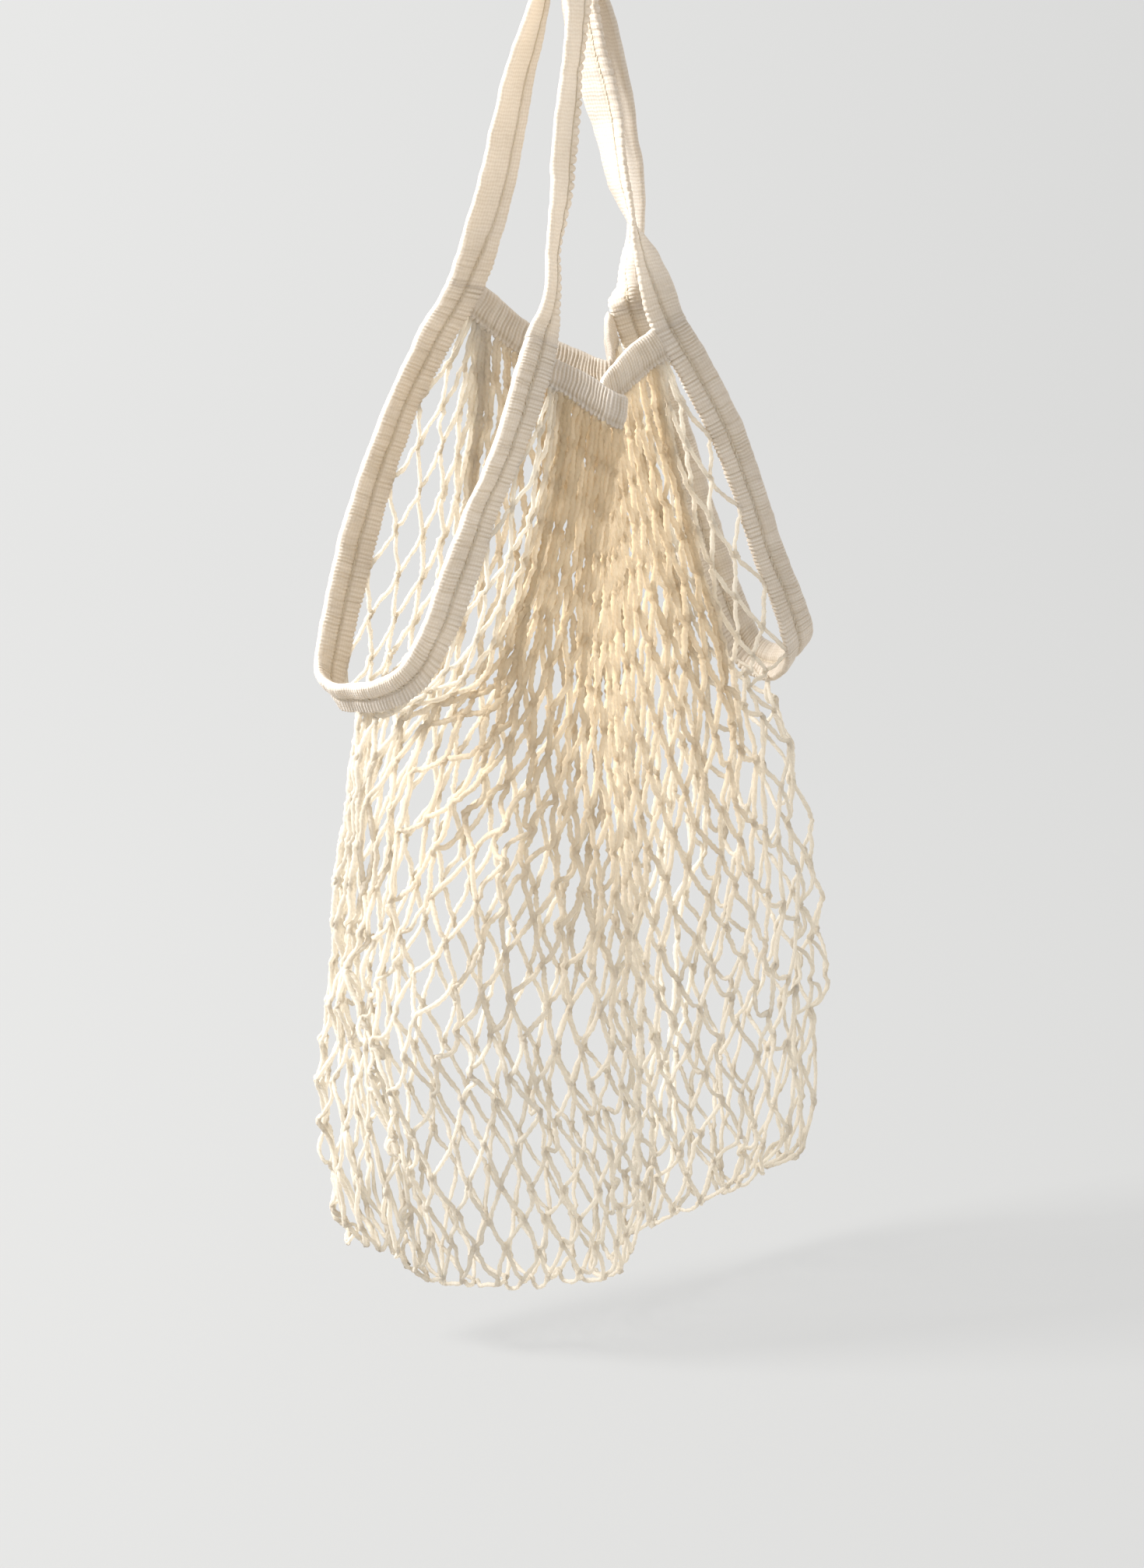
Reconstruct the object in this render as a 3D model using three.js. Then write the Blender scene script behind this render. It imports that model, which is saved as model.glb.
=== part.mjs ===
// A cotton net tote bag hanging by its two tape handles.
// Millimetres. +Z is up, -Y is the front, X runs across the bag, the origin is where the handles hang.
import * as THREE from "three";

// Tape: a strip folded double along its length, sewn down its middle.
const TAPE_WIDTH = 21;
const TAPE_THICK = 3;
const FOLD_THICK = 3.6;
const SEAM_THICK = 1.9;
const SEAM_REACH = 2.2;
const EDGE_ROUND = 0.9;
const BAND_WIDTH = 17;

// Net: two knotted walls with one gap to each coarse mesh.
const NET_THICK = 2.4;
const NET_COLUMNS = 10;
const NET_ROWS = 14;
const SLIT_ROWS = 6;
const SOLID_ROWS = 1;
const GAP_SHARE_TOP = 0.5;
const GAP_SHARE_BOTTOM = 0.8;
const GAP_POINT_SHARE = 1.06;

// Spacing between pieces and along the tape.
const SEAT_GAP = 0.3;
const HEM_GAP = 1.6;
const HANDLE_STEPS = 42;
const BINDING_STEPS = 46;
const BAND_STEPS = 18;
const LENGTH_SAMPLES = 40;

const ECRU = 0xe9dcc3;
const COTTON = new THREE.MeshStandardMaterial({ color: ECRU, roughness: 0.95 });

// Names the columns of a short table.
function table(columns, rows) {
  return rows.map((row) => Object.fromEntries(columns.map((name, i) => [name, row[i]])));
}

// Tape sections: the middle of the tape, then the way from its fold to its hem.
// aim is that way's angle round from +X and dip its angle below level, both in degrees.
const SECTION = ["x", "y", "z", "aim", "dip"];

// Free run from the front left corner, over the hook, to the front right corner.
const FRONT_HANDLE = table(SECTION, [
  [-39, -34, -197, 12, 20],
  [-32, -31, -180, 38, 10],
  [-28, -27, -157, 44, 7],
  [-21, -23, -127, 31, 6],
  [-16, -19, -98, 25, 5],
  [-11, -17, -70, 33, 4],
  [-7.5, -16, -40, 24, 3],
  [-7.2, -14.8, -16, -10, 1],
  [-6.4, -13.6, -4.5, -28, 0],
  [-3.6, -9.5, 2, -32, 0],
  [-0.8, -5.4, -4.5, -36, 0],
  [0, -4.2, -16, -48, 0],
  [1.5, -3.5, -40, -66, 0],
  [4.5, -5, -62, -64, -3],
  [10, -8, -84, -64, -4],
  [15, -10, -107, -86, -5],
  [20, -11, -130, -99, -6],
  [26, -13, -147, -122, -6],
  [32, -14, -160, -150, -2],
  [37, -16, -177, -170, 7],
]);

// Round the right slit, from the front right corner to the back right corner.
const RIGHT_BINDING = table(SECTION, [
  [43, -18, -195, -175, 17],
  [54, -22, -215, -174, 22],
  [69, -25, -242, -174, 19],
  [84, -25, -274, -170, 10],
  [99, -23, -310, -170, 9],
  [114, -19, -337, -170, 12],
  [127, -11, -360, -172, 33],
  [134, 6, -372, -178, 52],
  [137, 25, -378, 180, 58],
  [134, 42, -375, 178, 50],
  [130, 51, -360, 176, 28],
  [118, 52, -331, 175, 18],
  [98, 45, -288, 176, 15],
  [74, 33, -241, 178, 14],
]);
const RIGHT_TURN_ROW = 8;

// Free run from the back right corner, over the hook, to the back left corner.
const BACK_HANDLE = table(SECTION, [
  [42, 16, -189, 172, 14],
  [41.5, 14, -169, 130, 6],
  [41.5, 9.5, -150, 97, 4],
  [39, 6, -131, 84, 4],
  [34, 4.5, -108, 83, 3],
  [29, 4.3, -85, 87, 3],
  [24, 5, -63, 89, 2],
  [18, 6.3, -41, 84, 2],
  [10.5, 6.4, -17, 69, 1],
  [9.3, 7.1, -5, 60, 0],
  [4.5, 10.1, 2, 58, 0],
  [-0.3, 13.1, -5, 56, 0],
  [-1.5, 13.5, -17, 48, 1],
  [-9, 16, -41, 35, 3],
  [-15, 18.4, -63, 20, 4],
  [-21, 20, -85, 12, 5],
  [-25, 21.6, -107, 5, 6],
  [-30, 23.6, -130, 0, 7],
  [-36, 26, -152, -5, 8],
]);

// Round the left slit, from the back left corner to the front left corner.
const LEFT_BINDING = table(SECTION, [
  [-43, 29, -175, -2, 11],
  [-58, 31.5, -199, 4, 20],
  [-75, 31.5, -227, 12, 17],
  [-94, 27, -262, 8, 17],
  [-109, 22.6, -297, 0, 16],
  [-121, 18.5, -332, 6, 16],
  [-128.5, 15, -355, 14, 25],
  [-133, 3, -363.5, 34, 44],
  [-131.5, -15, -362.5, 42, 48],
  [-128.5, -42, -356, 38, 52],
  [-124, -60, -344, 18, 46],
  [-117, -68, -325, 12, 24],
  [-107, -69, -302, 2, 16],
  [-89, -62.5, -270, 15, 17],
  [-72, -57, -245, 15, 16],
  [-54, -46, -218, 5, 19],
]);
const LEFT_TURN_ROW = 8;

// Mouth bands, each from one slit binding to the other, the net below.
const FRONT_BAND = table(SECTION, [
  [-36.4, -39.5, -212.2, -138, 47],
  [-23, -47, -221, -150, 62],
  [-13, -54, -229, -165, 72],
  [-4.5, -51.5, -232, -150, 76],
  [-1, -36, -224, -95, 76],
  [17, -26, -212, -40, 70],
  [35.6, -20.6, -205, -20, 60],
]);
const BACK_BAND = table(SECTION, [
  [33.8, 18.3, -199.7, 27, 56],
  [26, 9, -209, 40, 70],
  [20, -2, -221, -90, 78],
  [8, 9, -217, 150, 80],
  [-11, 21, -206, 165, 72],
  [-36.2, 29.8, -184.6, 168, 58],
]);

// Net folds: each hangs from a share of the way along its mouth band and falls through these points.
const FOLD_COLUMNS = [0, 0.3, 0.5, 0.6, 0.8, 1];
const FRONT_MOUTH_SHARES = [0, 0.22, 0.4, 0.57, 0.8, 1];
const BACK_MOUTH_SHARES = [0, 0.3, 0.5, 0.66, 0.84, 1];
const FOLD_LEVELS = [0, 3, 6, 9, 12, 13, 14];
const POINT = ["x", "y", "z"];
const FRONT_FOLDS = {
  left_lobe: table(POINT, [
    [-58, -62, -297],
    [-83, -66, -372],
    [-103, -64, -458],
    [-115, -60, -556],
    [-112, -50, -604],
  ]),
  ridge: table(POINT, [
    [-23, -60, -314],
    [-24, -64, -392],
    [-19, -67, -480],
    [-11, -68, -578],
    [-3, -62, -622],
  ]),
  valley: table(POINT, [
    [5, -38, -307],
    [11, -38, -383],
    [18, -35, -470],
    [25, -28, -572],
    [28, -22, -614],
  ]),
  right_lobe: table(POINT, [
    [48, -31, -302],
    [71, -31, -378],
    [82, -29, -467],
    [89, -25, -562],
    [92, -18, -606],
  ]),
};
const BACK_FOLDS = {
  left_lobe: table(POINT, [
    [-33, 47, -298],
    [-47, 50, -376],
    [-56, 51, -458],
    [-63, 49, -553],
    [-68, 38, -596],
  ]),
  middle: table(POINT, [
    [20, 38, -304],
    [22, 45, -380],
    [24, 48, -466],
    [24, 46, -560],
    [18, 36, -602],
  ]),
  tuck: table(POINT, [
    [40, 24, -302],
    [46, 27, -378],
    [50, 29, -461],
    [52, 29, -555],
    [48, 24, -598],
  ]),
  right_lobe: table(POINT, [
    [82, 47, -304],
    [108, 60, -381],
    [116, 62, -465],
    [115, 60, -557],
    [110, 50, -598],
  ]),
};
const BOTTOM_FOLD = table(POINT, [
  [-92, -20, -652],
  [2, -32, -664],
  [32, -7, -655],
  [96, 7, -649],
]);

// Side lines of the net under the slits, from the end of each slit to the bottom corner.
const SIDE_LEVELS = [6, 7, 9, 12, 13, 14];
const LEFT_SIDE = table(POINT, [
  [-135, -14, -402],
  [-137, -8, -452],
  [-146, 7, -556],
  [-143, 9, -600],
  [-128, 6, -632],
]);
const RIGHT_SIDE = table(POINT, [
  [153, 14, -415],
  [155, 8, -472],
  [157, 2.5, -566],
  [153, 2.5, -607],
  [136, 8.5, -636],
]);

// A point from a row that has x, y and z.
function pointOf(row) {
  return new THREE.Vector3(row.x, row.y, row.z);
}

// The way from fold to hem that a section's aim and dip give.
function acrossOf(row) {
  const aim = THREE.MathUtils.degToRad(row.aim);
  const dip = THREE.MathUtils.degToRad(row.dip);
  const level = Math.cos(dip);
  return new THREE.Vector3(level * Math.cos(aim), level * Math.sin(aim), -Math.sin(dip));
}

// Where a value lies along rising stops, as a share of the whole list.
function shareAlong(stops, value) {
  const last = stops.length - 1;
  const next = Math.min(last, Math.max(1, stops.findIndex((stop) => stop >= value)));
  const part = (value - stops[next - 1]) / (stops[next] - stops[next - 1]);
  return (next - 1 + part) / last;
}

// A run of tape through its sections: a fold edge, a hem edge and the frame at any distance along.
class TapeRun {
  constructor(sections, width, closed) {
    this.spans = closed ? sections.length : sections.length - 1;
    this.fold = this.edge(sections, -width / 2, closed);
    this.middle = this.edge(sections, 0, closed);
    this.hem = this.edge(sections, width / 2, closed);
    this.distances = this.middle.getLengths(this.spans * LENGTH_SAMPLES);
  }

  edge(sections, offset, closed) {
    const points = sections.map((row) => pointOf(row).addScaledVector(acrossOf(row), offset));
    return new THREE.CatmullRomCurve3(points, closed);
  }

  distanceAtRow(row) {
    return this.distances[row * LENGTH_SAMPLES];
  }

  get length() {
    return this.distances[this.distances.length - 1];
  }

  frameAt(distance) {
    const share = shareAlong(this.distances, THREE.MathUtils.clamp(distance, 0, this.length));
    const fold = this.fold.getPoint(share);
    const hem = this.hem.getPoint(share);
    const across = hem.clone().sub(fold).normalize();
    const along = this.middle.getTangent(share);
    along.addScaledVector(across, -along.dot(across)).normalize();
    const out = across.clone().cross(along);
    return { middle: this.middle.getPoint(share), hem, across, out };
  }
}

// Half outline of the folded tape, fold first: distance from the fold and half thickness.
function tapeOutline(width) {
  const seam = width / 2;
  const half = [
    [0, 0],
    [EDGE_ROUND, FOLD_THICK / 2],
    [seam - SEAM_REACH, TAPE_THICK / 2],
    [seam, SEAM_THICK / 2],
    [seam + SEAM_REACH, TAPE_THICK / 2],
    [width - EDGE_ROUND, TAPE_THICK / 2],
    [width, TAPE_THICK / 2 - EDGE_ROUND],
  ];
  const outer = half.map(([reach, rise]) => new THREE.Vector2(reach - width / 2, rise));
  const inner = half.slice(1).reverse();
  return outer.concat(inner.map(([reach, rise]) => new THREE.Vector2(reach - width / 2, -rise)));
}

// A named mesh from shared points and triangles.
function solid(name, points, triangles) {
  const geometry = new THREE.BufferGeometry();
  geometry.setFromPoints(points);
  geometry.setIndex(triangles.flat());
  geometry.computeVertexNormals();
  const mesh = new THREE.Mesh(geometry, COTTON);
  mesh.name = name;
  return mesh;
}

// Lofts the tape outline along a run between two distances.
function tapeSolid(name, run, from, to, steps, width) {
  const outline = tapeOutline(width);
  const count = outline.length;
  const points = [];
  for (let step = 0; step <= steps; step += 1) {
    const frame = run.frameAt(from + ((to - from) * step) / steps);
    for (const corner of outline) {
      const point = frame.middle.clone().addScaledVector(frame.across, corner.x);
      points.push(point.addScaledVector(frame.out, corner.y));
    }
  }
  const triangles = [];
  for (let step = 0; step < steps; step += 1) {
    for (let side = 0; side < count; side += 1) {
      const a = step * count + side;
      const b = step * count + ((side + 1) % count);
      triangles.push([a, b, a + count], [b, b + count, a + count]);
    }
  }
  const end = steps * count;
  for (const cap of THREE.ShapeUtils.triangulateShape(outline, [])) {
    triangles.push(cap, cap.map((corner) => corner + end).reverse());
  }
  return solid(name, points, triangles);
}

// The whole tape is one closed run, and the pieces are its spans between the mouth corners.
const TAPE_ROWS = [...FRONT_HANDLE, ...RIGHT_BINDING, ...BACK_HANDLE, ...LEFT_BINDING];
const TAPE = new TapeRun(TAPE_ROWS, TAPE_WIDTH, true);
const RIGHT_START = FRONT_HANDLE.length;
const BACK_START = RIGHT_START + RIGHT_BINDING.length;
const LEFT_START = BACK_START + BACK_HANDLE.length;
const FRONT_RIGHT = TAPE.distanceAtRow(RIGHT_START);
const BACK_RIGHT = TAPE.distanceAtRow(BACK_START);
const BACK_LEFT = TAPE.distanceAtRow(LEFT_START);
const FRONT_LEFT = TAPE.length;
const RIGHT_TURN = TAPE.distanceAtRow(RIGHT_START + RIGHT_TURN_ROW);
const LEFT_TURN = TAPE.distanceAtRow(LEFT_START + LEFT_TURN_ROW);
const FRONT_RUN = new TapeRun(FRONT_BAND, BAND_WIDTH, false);
const BACK_RUN = new TapeRun(BACK_BAND, BAND_WIDTH, false);

// The net's edge along a slit binding, from below the mouth band's end to the end of the slit.
class SlitEdge {
  constructor(bandEnd, corner, turn, sideRows) {
    const way = Math.sign(turn - corner);
    const steps = Math.floor(Math.abs(turn - corner));
    const reaches = Array.from({ length: steps }, (_, step) => corner + way * step);
    const space = (reach) => TAPE.frameAt(reach).hem.distanceTo(bandEnd);
    const nearest = reaches.reduce((best, reach) => (space(reach) < space(best) ? reach : best));
    this.start = nearest + way * TAPE_THICK;
    this.turn = turn;
    const end = TAPE.frameAt(turn);
    const turnPoint = end.hem.clone().addScaledVector(end.across, HEM_GAP);
    this.side = new THREE.CatmullRomCurve3([turnPoint, ...sideRows.map(pointOf)]);
  }

  frameAt(level) {
    return TAPE.frameAt(THREE.MathUtils.lerp(this.start, this.turn, level / SLIT_ROWS));
  }

  pointAt(level) {
    if (level > SLIT_ROWS) return this.side.getPoint(shareAlong(SIDE_LEVELS, level));
    const frame = this.frameAt(level);
    return frame.hem.addScaledVector(frame.across, HEM_GAP);
  }
}

// One side of the net: its two edges and the folds between them, hung from a mouth band.
class NetPanel {
  constructor(band, reversed, mouthShares, folds, left, right) {
    this.band = band;
    this.reversed = reversed;
    this.mouthShares = mouthShares;
    this.left = left;
    this.right = right;
    const columns = FOLD_COLUMNS.slice(1, -1).map((share) => share * NET_COLUMNS);
    this.folds = Object.values(folds).map((rows, i) => {
      const mouth = this.mouthPoint(columns[i]);
      return new THREE.CatmullRomCurve3([mouth, ...rows.map(pointOf), pointOf(BOTTOM_FOLD[i])]);
    });
  }

  mouthFrame(column) {
    const place = shareAlong(FOLD_COLUMNS, column / NET_COLUMNS) * (FOLD_COLUMNS.length - 1);
    const before = Math.min(Math.floor(place), FOLD_COLUMNS.length - 2);
    const [low, high] = this.mouthShares.slice(before, before + 2);
    const share = THREE.MathUtils.lerp(low, high, place - before);
    return this.band.frameAt((this.reversed ? 1 - share : share) * this.band.length);
  }

  mouthPoint(column) {
    const frame = this.mouthFrame(column);
    return frame.hem.addScaledVector(frame.across, HEM_GAP);
  }

  pointAt(column, level) {
    if (column === 0) return this.left.pointAt(level);
    if (column === NET_COLUMNS) return this.right.pointAt(level);
    if (level === 0) return this.mouthPoint(column);
    const drop = shareAlong(FOLD_LEVELS, level);
    const inner = this.folds.map((fold) => fold.getPoint(drop));
    const across = [this.left.pointAt(level), ...inner, this.right.pointAt(level)];
    const share = shareAlong(FOLD_COLUMNS, column / NET_COLUMNS);
    return new THREE.CatmullRomCurve3(across).getPoint(share);
  }

  // The way out of the bag where the net meets its tape, or nothing away from the tape.
  rimNormal(column, level) {
    if (column === 0 && level <= SLIT_ROWS) return this.left.frameAt(level).out;
    if (column === NET_COLUMNS && level <= SLIT_ROWS) return this.right.frameAt(level).out;
    return level === 0 ? this.mouthFrame(column).out : null;
  }
}

// The eighths of its ring that a mesh keeps beside an edge: the first, counted left about from the top,
// and how many.
const WHOLE_RING = { first: 0, count: 8 };
const BELOW_MOUTH = { first: 2, count: 4 };
const RIGHT_OF_EDGE = { first: 4, count: 4 };
const LEFT_OF_EDGE = { first: 0, count: 4 };
const ABOVE_BOTTOM = { first: 6, count: 4 };

// One knotted wall of the net: coarse meshes over a panel, each a ring of strands about its gap.
// It faces the front at -1 and the back at 1.
class NetWall {
  constructor(panel, facing) {
    this.panel = panel;
    this.facing = facing;
    this.points = [];
    this.normals = [];
    this.faces = [];
    this.known = new Map();
    this.fill();
  }

  // The shared index of a place; where the two walls meet, each keeps clear of the other.
  spot(column, row) {
    const key = [column.toFixed(4), row.toFixed(4)].join(" ");
    if (!this.known.has(key)) {
      const side = column === 0 || column === NET_COLUMNS;
      const meets = row === NET_ROWS || (side && row >= SLIT_ROWS);
      const out = new THREE.Vector3(0, this.facing, 0);
      const point = this.panel.pointAt(column, row);
      this.known.set(key, this.points.length);
      this.points.push(meets ? point.addScaledVector(out, (NET_THICK + SEAT_GAP) / 2) : point);
      this.normals.push(meets ? out : this.panel.rimNormal(column, row));
    }
    return this.known.get(key);
  }

  addFace(corners) {
    this.faces.push(this.facing > 0 ? corners.toReversed() : corners);
  }

  // The corners and strand middles round a mesh, left about, scaled from its centre.
  ring(column, row, share, kept) {
    return Array.from({ length: kept.count + 1 }, (_, step) => {
      const turn = (kept.first + step) % WHOLE_RING.count;
      const angle = (turn * Math.PI) / 4;
      const reach = turn % 2 ? Math.SQRT1_2 : share < 1 ? GAP_POINT_SHARE : 1;
      const right = -Math.round(Math.sin(angle) * reach * 1e6) / 1e6;
      const down = -Math.round(Math.cos(angle) * reach * 1e6) / 1e6;
      return this.spot(column + right * share, row + down * share);
    });
  }

  keptRing(column, row) {
    if (row === 0) return BELOW_MOUTH;
    if (row === NET_ROWS) return ABOVE_BOTTOM;
    if (column === 0) return RIGHT_OF_EDGE;
    return column === NET_COLUMNS ? LEFT_OF_EDGE : WHOLE_RING;
  }

  // Meshes under the mouth bands and half meshes against the slit bindings have no gap.
  addMesh(column, row) {
    const kept = this.keptRing(column, row);
    const strands = this.ring(column, row, 1, kept);
    const bound = (column === 0 || column === NET_COLUMNS) && row < SLIT_ROWS;
    if (bound || row <= SOLID_ROWS) {
      const centre = this.spot(column, row);
      strands.slice(1).forEach((at, i) => this.addFace([strands[i], at, centre]));
      return;
    }
    const share = THREE.MathUtils.lerp(GAP_SHARE_TOP, GAP_SHARE_BOTTOM, row / NET_ROWS);
    const gap = this.ring(column, row, share, kept);
    strands.slice(1).forEach((at, i) => {
      this.addFace([strands[i], at, gap[i + 1]]);
      this.addFace([strands[i], gap[i + 1], gap[i]]);
    });
  }

  fill() {
    for (let column = 0; column <= NET_COLUMNS; column += 1) {
      for (let row = 0; row <= NET_ROWS; row += 1) {
        if ((column + row) % 2) this.addMesh(column, row);
      }
    }
  }

  // The normal at each point: the tape's at the rim, and the mean of the faces round it elsewhere.
  wallNormals() {
    const sums = this.points.map(() => new THREE.Vector3());
    for (const [a, b, c] of this.faces) {
      const side = this.points[b].clone().sub(this.points[a]);
      const face = side.cross(this.points[c].clone().sub(this.points[a]));
      [a, b, c].forEach((corner) => sums[corner].add(face));
    }
    return sums.map((sum, i) => this.normals[i] ?? sum.normalize());
  }

  // Thickens the surface to a wall closed along every gap and rim.
  solid(name) {
    const normals = this.wallNormals();
    const shift = (reach) => this.points.map((point, i) => point.clone().addScaledVector(normals[i], reach));
    const points = [...shift(NET_THICK / 2), ...shift(-NET_THICK / 2)];
    const inner = this.points.length;
    const edges = new Set(this.faces.flatMap(([a, b, c]) => [`${a} ${b}`, `${b} ${c}`, `${c} ${a}`]));
    const triangles = [];
    for (const face of this.faces) {
      triangles.push(face, face.map((corner) => corner + inner).reverse());
    }
    for (const edge of edges) {
      const [a, b] = edge.split(" ").map(Number);
      if (!edges.has(`${b} ${a}`)) {
        triangles.push([b, a, a + inner], [b, a + inner, b + inner]);
      }
    }
    return solid(name, points, triangles);
  }
}

const frontLeft = new SlitEdge(FRONT_RUN.hem.getPoint(0), FRONT_LEFT, LEFT_TURN, LEFT_SIDE);
const frontRight = new SlitEdge(FRONT_RUN.hem.getPoint(1), FRONT_RIGHT, RIGHT_TURN, RIGHT_SIDE);
const backLeft = new SlitEdge(BACK_RUN.hem.getPoint(1), BACK_LEFT, LEFT_TURN, LEFT_SIDE);
const backRight = new SlitEdge(BACK_RUN.hem.getPoint(0), BACK_RIGHT, RIGHT_TURN, RIGHT_SIDE);
const frontPanel = new NetPanel(FRONT_RUN, false, FRONT_MOUTH_SHARES, FRONT_FOLDS, frontLeft, frontRight);
const backPanel = new NetPanel(BACK_RUN, true, BACK_MOUTH_SHARES, BACK_FOLDS, backLeft, backRight);

const half = SEAT_GAP / 2;
const bag = new THREE.Group();
bag.name = "net_tote_bag";
bag.add(
  tapeSolid("front_handle", TAPE, half, FRONT_RIGHT - half, HANDLE_STEPS, TAPE_WIDTH),
  tapeSolid("right_slit_binding", TAPE, FRONT_RIGHT + half, BACK_RIGHT - half, BINDING_STEPS, TAPE_WIDTH),
  tapeSolid("back_handle", TAPE, BACK_RIGHT + half, BACK_LEFT - half, HANDLE_STEPS, TAPE_WIDTH),
  tapeSolid("left_slit_binding", TAPE, BACK_LEFT + half, FRONT_LEFT - half, BINDING_STEPS, TAPE_WIDTH),
  tapeSolid("front_mouth_band", FRONT_RUN, 0, FRONT_RUN.length, BAND_STEPS, BAND_WIDTH),
  tapeSolid("back_mouth_band", BACK_RUN, 0, BACK_RUN.length, BAND_STEPS, BAND_WIDTH),
  new NetWall(frontPanel, -1).solid("net_front"),
  new NetWall(backPanel, 1).solid("net_back"),
);

export default bag;
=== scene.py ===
"""A cotton net tote bag hanging by its two tape handles, dressed for looks.

The tables are in millimetres in the part's own frame: +Z is up, -Y is the front, X runs across the bag and
the origin is where the handles hang. Meshes are written in metres.
"""
import logging
import math
from dataclasses import dataclass, field
from enum import Enum

import bpy
import numpy as np
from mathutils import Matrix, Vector


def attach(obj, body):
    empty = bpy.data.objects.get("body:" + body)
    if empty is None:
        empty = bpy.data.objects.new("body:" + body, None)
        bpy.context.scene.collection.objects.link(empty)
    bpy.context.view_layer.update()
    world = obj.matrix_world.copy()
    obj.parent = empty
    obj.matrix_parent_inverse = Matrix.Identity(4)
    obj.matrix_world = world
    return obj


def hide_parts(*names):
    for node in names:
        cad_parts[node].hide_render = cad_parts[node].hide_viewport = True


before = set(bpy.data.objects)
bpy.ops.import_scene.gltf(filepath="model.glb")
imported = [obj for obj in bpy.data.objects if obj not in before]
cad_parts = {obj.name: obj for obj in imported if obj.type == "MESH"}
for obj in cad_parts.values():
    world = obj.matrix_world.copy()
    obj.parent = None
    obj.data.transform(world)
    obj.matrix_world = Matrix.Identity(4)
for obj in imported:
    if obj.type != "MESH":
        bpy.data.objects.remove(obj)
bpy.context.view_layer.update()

LOG = logging.getLogger("net_tote_bag")
MM = 0.001
BODY = "root"
# The point attribute of the tape's painted shade in its grooves.
PAINTED_GROOVE_SHADE = "painted_groove_shade"
# The point attribute of the yarn's painted glow where it hangs gathered.
PAINTED_GLOW = "crowd_and_painted_glow"
SEED = 7
STITCH_SEED = 100
BEAD_SEED = 50
TINY = 1e-9
SEAM_GAP = 1e-6

# Tape sections: the middle of the tape (x, y, z), then the way from its fold to its hem as an angle
# round from +X (aim) and an angle below level (dip), in degrees.
FRONT_HANDLE = np.array([
    [-39, -34, -197, 12, 20], [-32, -31, -180, 38, 10], [-28, -27, -157, 44, 7], [-21, -23, -127, 31, 6],
    [-16, -19, -98, 25, 5], [-11, -17, -70, 33, 4], [-7.5, -16, -40, 24, 3], [-7.2, -14.8, -16, -10, 1],
    [-6.4, -13.6, -4.5, -28, 0], [-3.6, -9.5, 2, -32, 0], [-0.8, -5.4, -4.5, -36, 0], [0, -4.2, -16, -48, 0],
    [1.5, -3.5, -40, -66, 0], [4.5, -5, -62, -64, -3], [10, -8, -84, -64, -4], [15, -10, -107, -86, -5],
    [20, -11, -130, -99, -6], [26, -13, -147, -122, -6], [32, -14, -160, -150, -2], [37, -16, -177, -170, 7],
])
RIGHT_BINDING = np.array([
    [43, -18, -195, -175, 17], [54, -22, -215, -174, 22], [69, -25, -242, -174, 19],
    [84, -25, -274, -170, 10], [99, -23, -310, -170, 9], [114, -19, -337, -170, 12],
    [127, -11, -360, -172, 33], [134, 6, -372, -178, 52], [137, 25, -378, 180, 58], [134, 42, -375, 178, 50],
    [130, 51, -360, 176, 28], [118, 52, -331, 175, 18], [98, 45, -288, 176, 15], [74, 33, -241, 178, 14],
])
RIGHT_TURN_ROW = 8
BACK_HANDLE = np.array([
    [42, 16, -189, 172, 14], [41.8, 15.2, -179, 90, 8], [41.5, 14, -169, 80, 6], [41.5, 9.5, -150, 76, 4],
    [39, 6, -131, 80, 4], [34, 4.5, -108, 83, 3], [29, 4.3, -85, 87, 3], [24, 5, -63, 89, 2],
    [18, 6.3, -41, 84, 2], [10.5, 6.4, -17, 69, 1], [9.3, 7.1, -5, 60, 0], [4.5, 10.1, 2, 58, 0],
    [-0.3, 13.1, -5, 56, 0], [-1.5, 13.5, -17, 48, 1], [-9, 16, -41, 35, 3], [-15, 18.4, -63, 20, 4],
    [-21, 20, -85, 12, 5], [-25, 21.6, -107, 5, 6], [-30, 23.6, -130, 0, 7], [-36, 26, -152, -5, 8],
])
LEFT_BINDING = np.array([
    [-43, 29, -175, -2, 11], [-58, 31.5, -199, 4, 20], [-75, 31.5, -227, 12, 17], [-94, 27, -262, 8, 17],
    [-109, 22.6, -297, 0, 16], [-121, 18.5, -332, 6, 16], [-128.5, 15, -355, 14, 25],
    [-133, 3, -363.5, 34, 44], [-131.5, -15, -362.5, 42, 48], [-128.5, -42, -356, 38, 52],
    [-124, -60, -344, 18, 46], [-117, -68, -325, 12, 24], [-107, -69, -302, 2, 16],
    [-89, -62.5, -270, 15, 17], [-72, -57, -245, 15, 16], [-54, -46, -218, 5, 19],
])
LEFT_TURN_ROW = 8
FRONT_BAND = np.array([
    [-36.4, -39.5, -212.2, -138, 47], [-23, -47, -221, -150, 62], [-13, -54, -229, -165, 72],
    [-4.5, -51.5, -232, -150, 76], [-8, -39, -229, -95, 76], [17, -26, -213, -40, 70],
    [35.6, -20.6, -205, -20, 60],
])
BACK_BAND = np.array([
    [33.8, 18.3, -199.7, 27, 56], [26, 9, -209, 40, 70], [20, -2, -221, -90, 78], [8, 9, -217, 150, 80],
    [-11, 21, -206, 165, 72], [-36.2, 29.8, -184.6, 168, 58],
])

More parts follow.
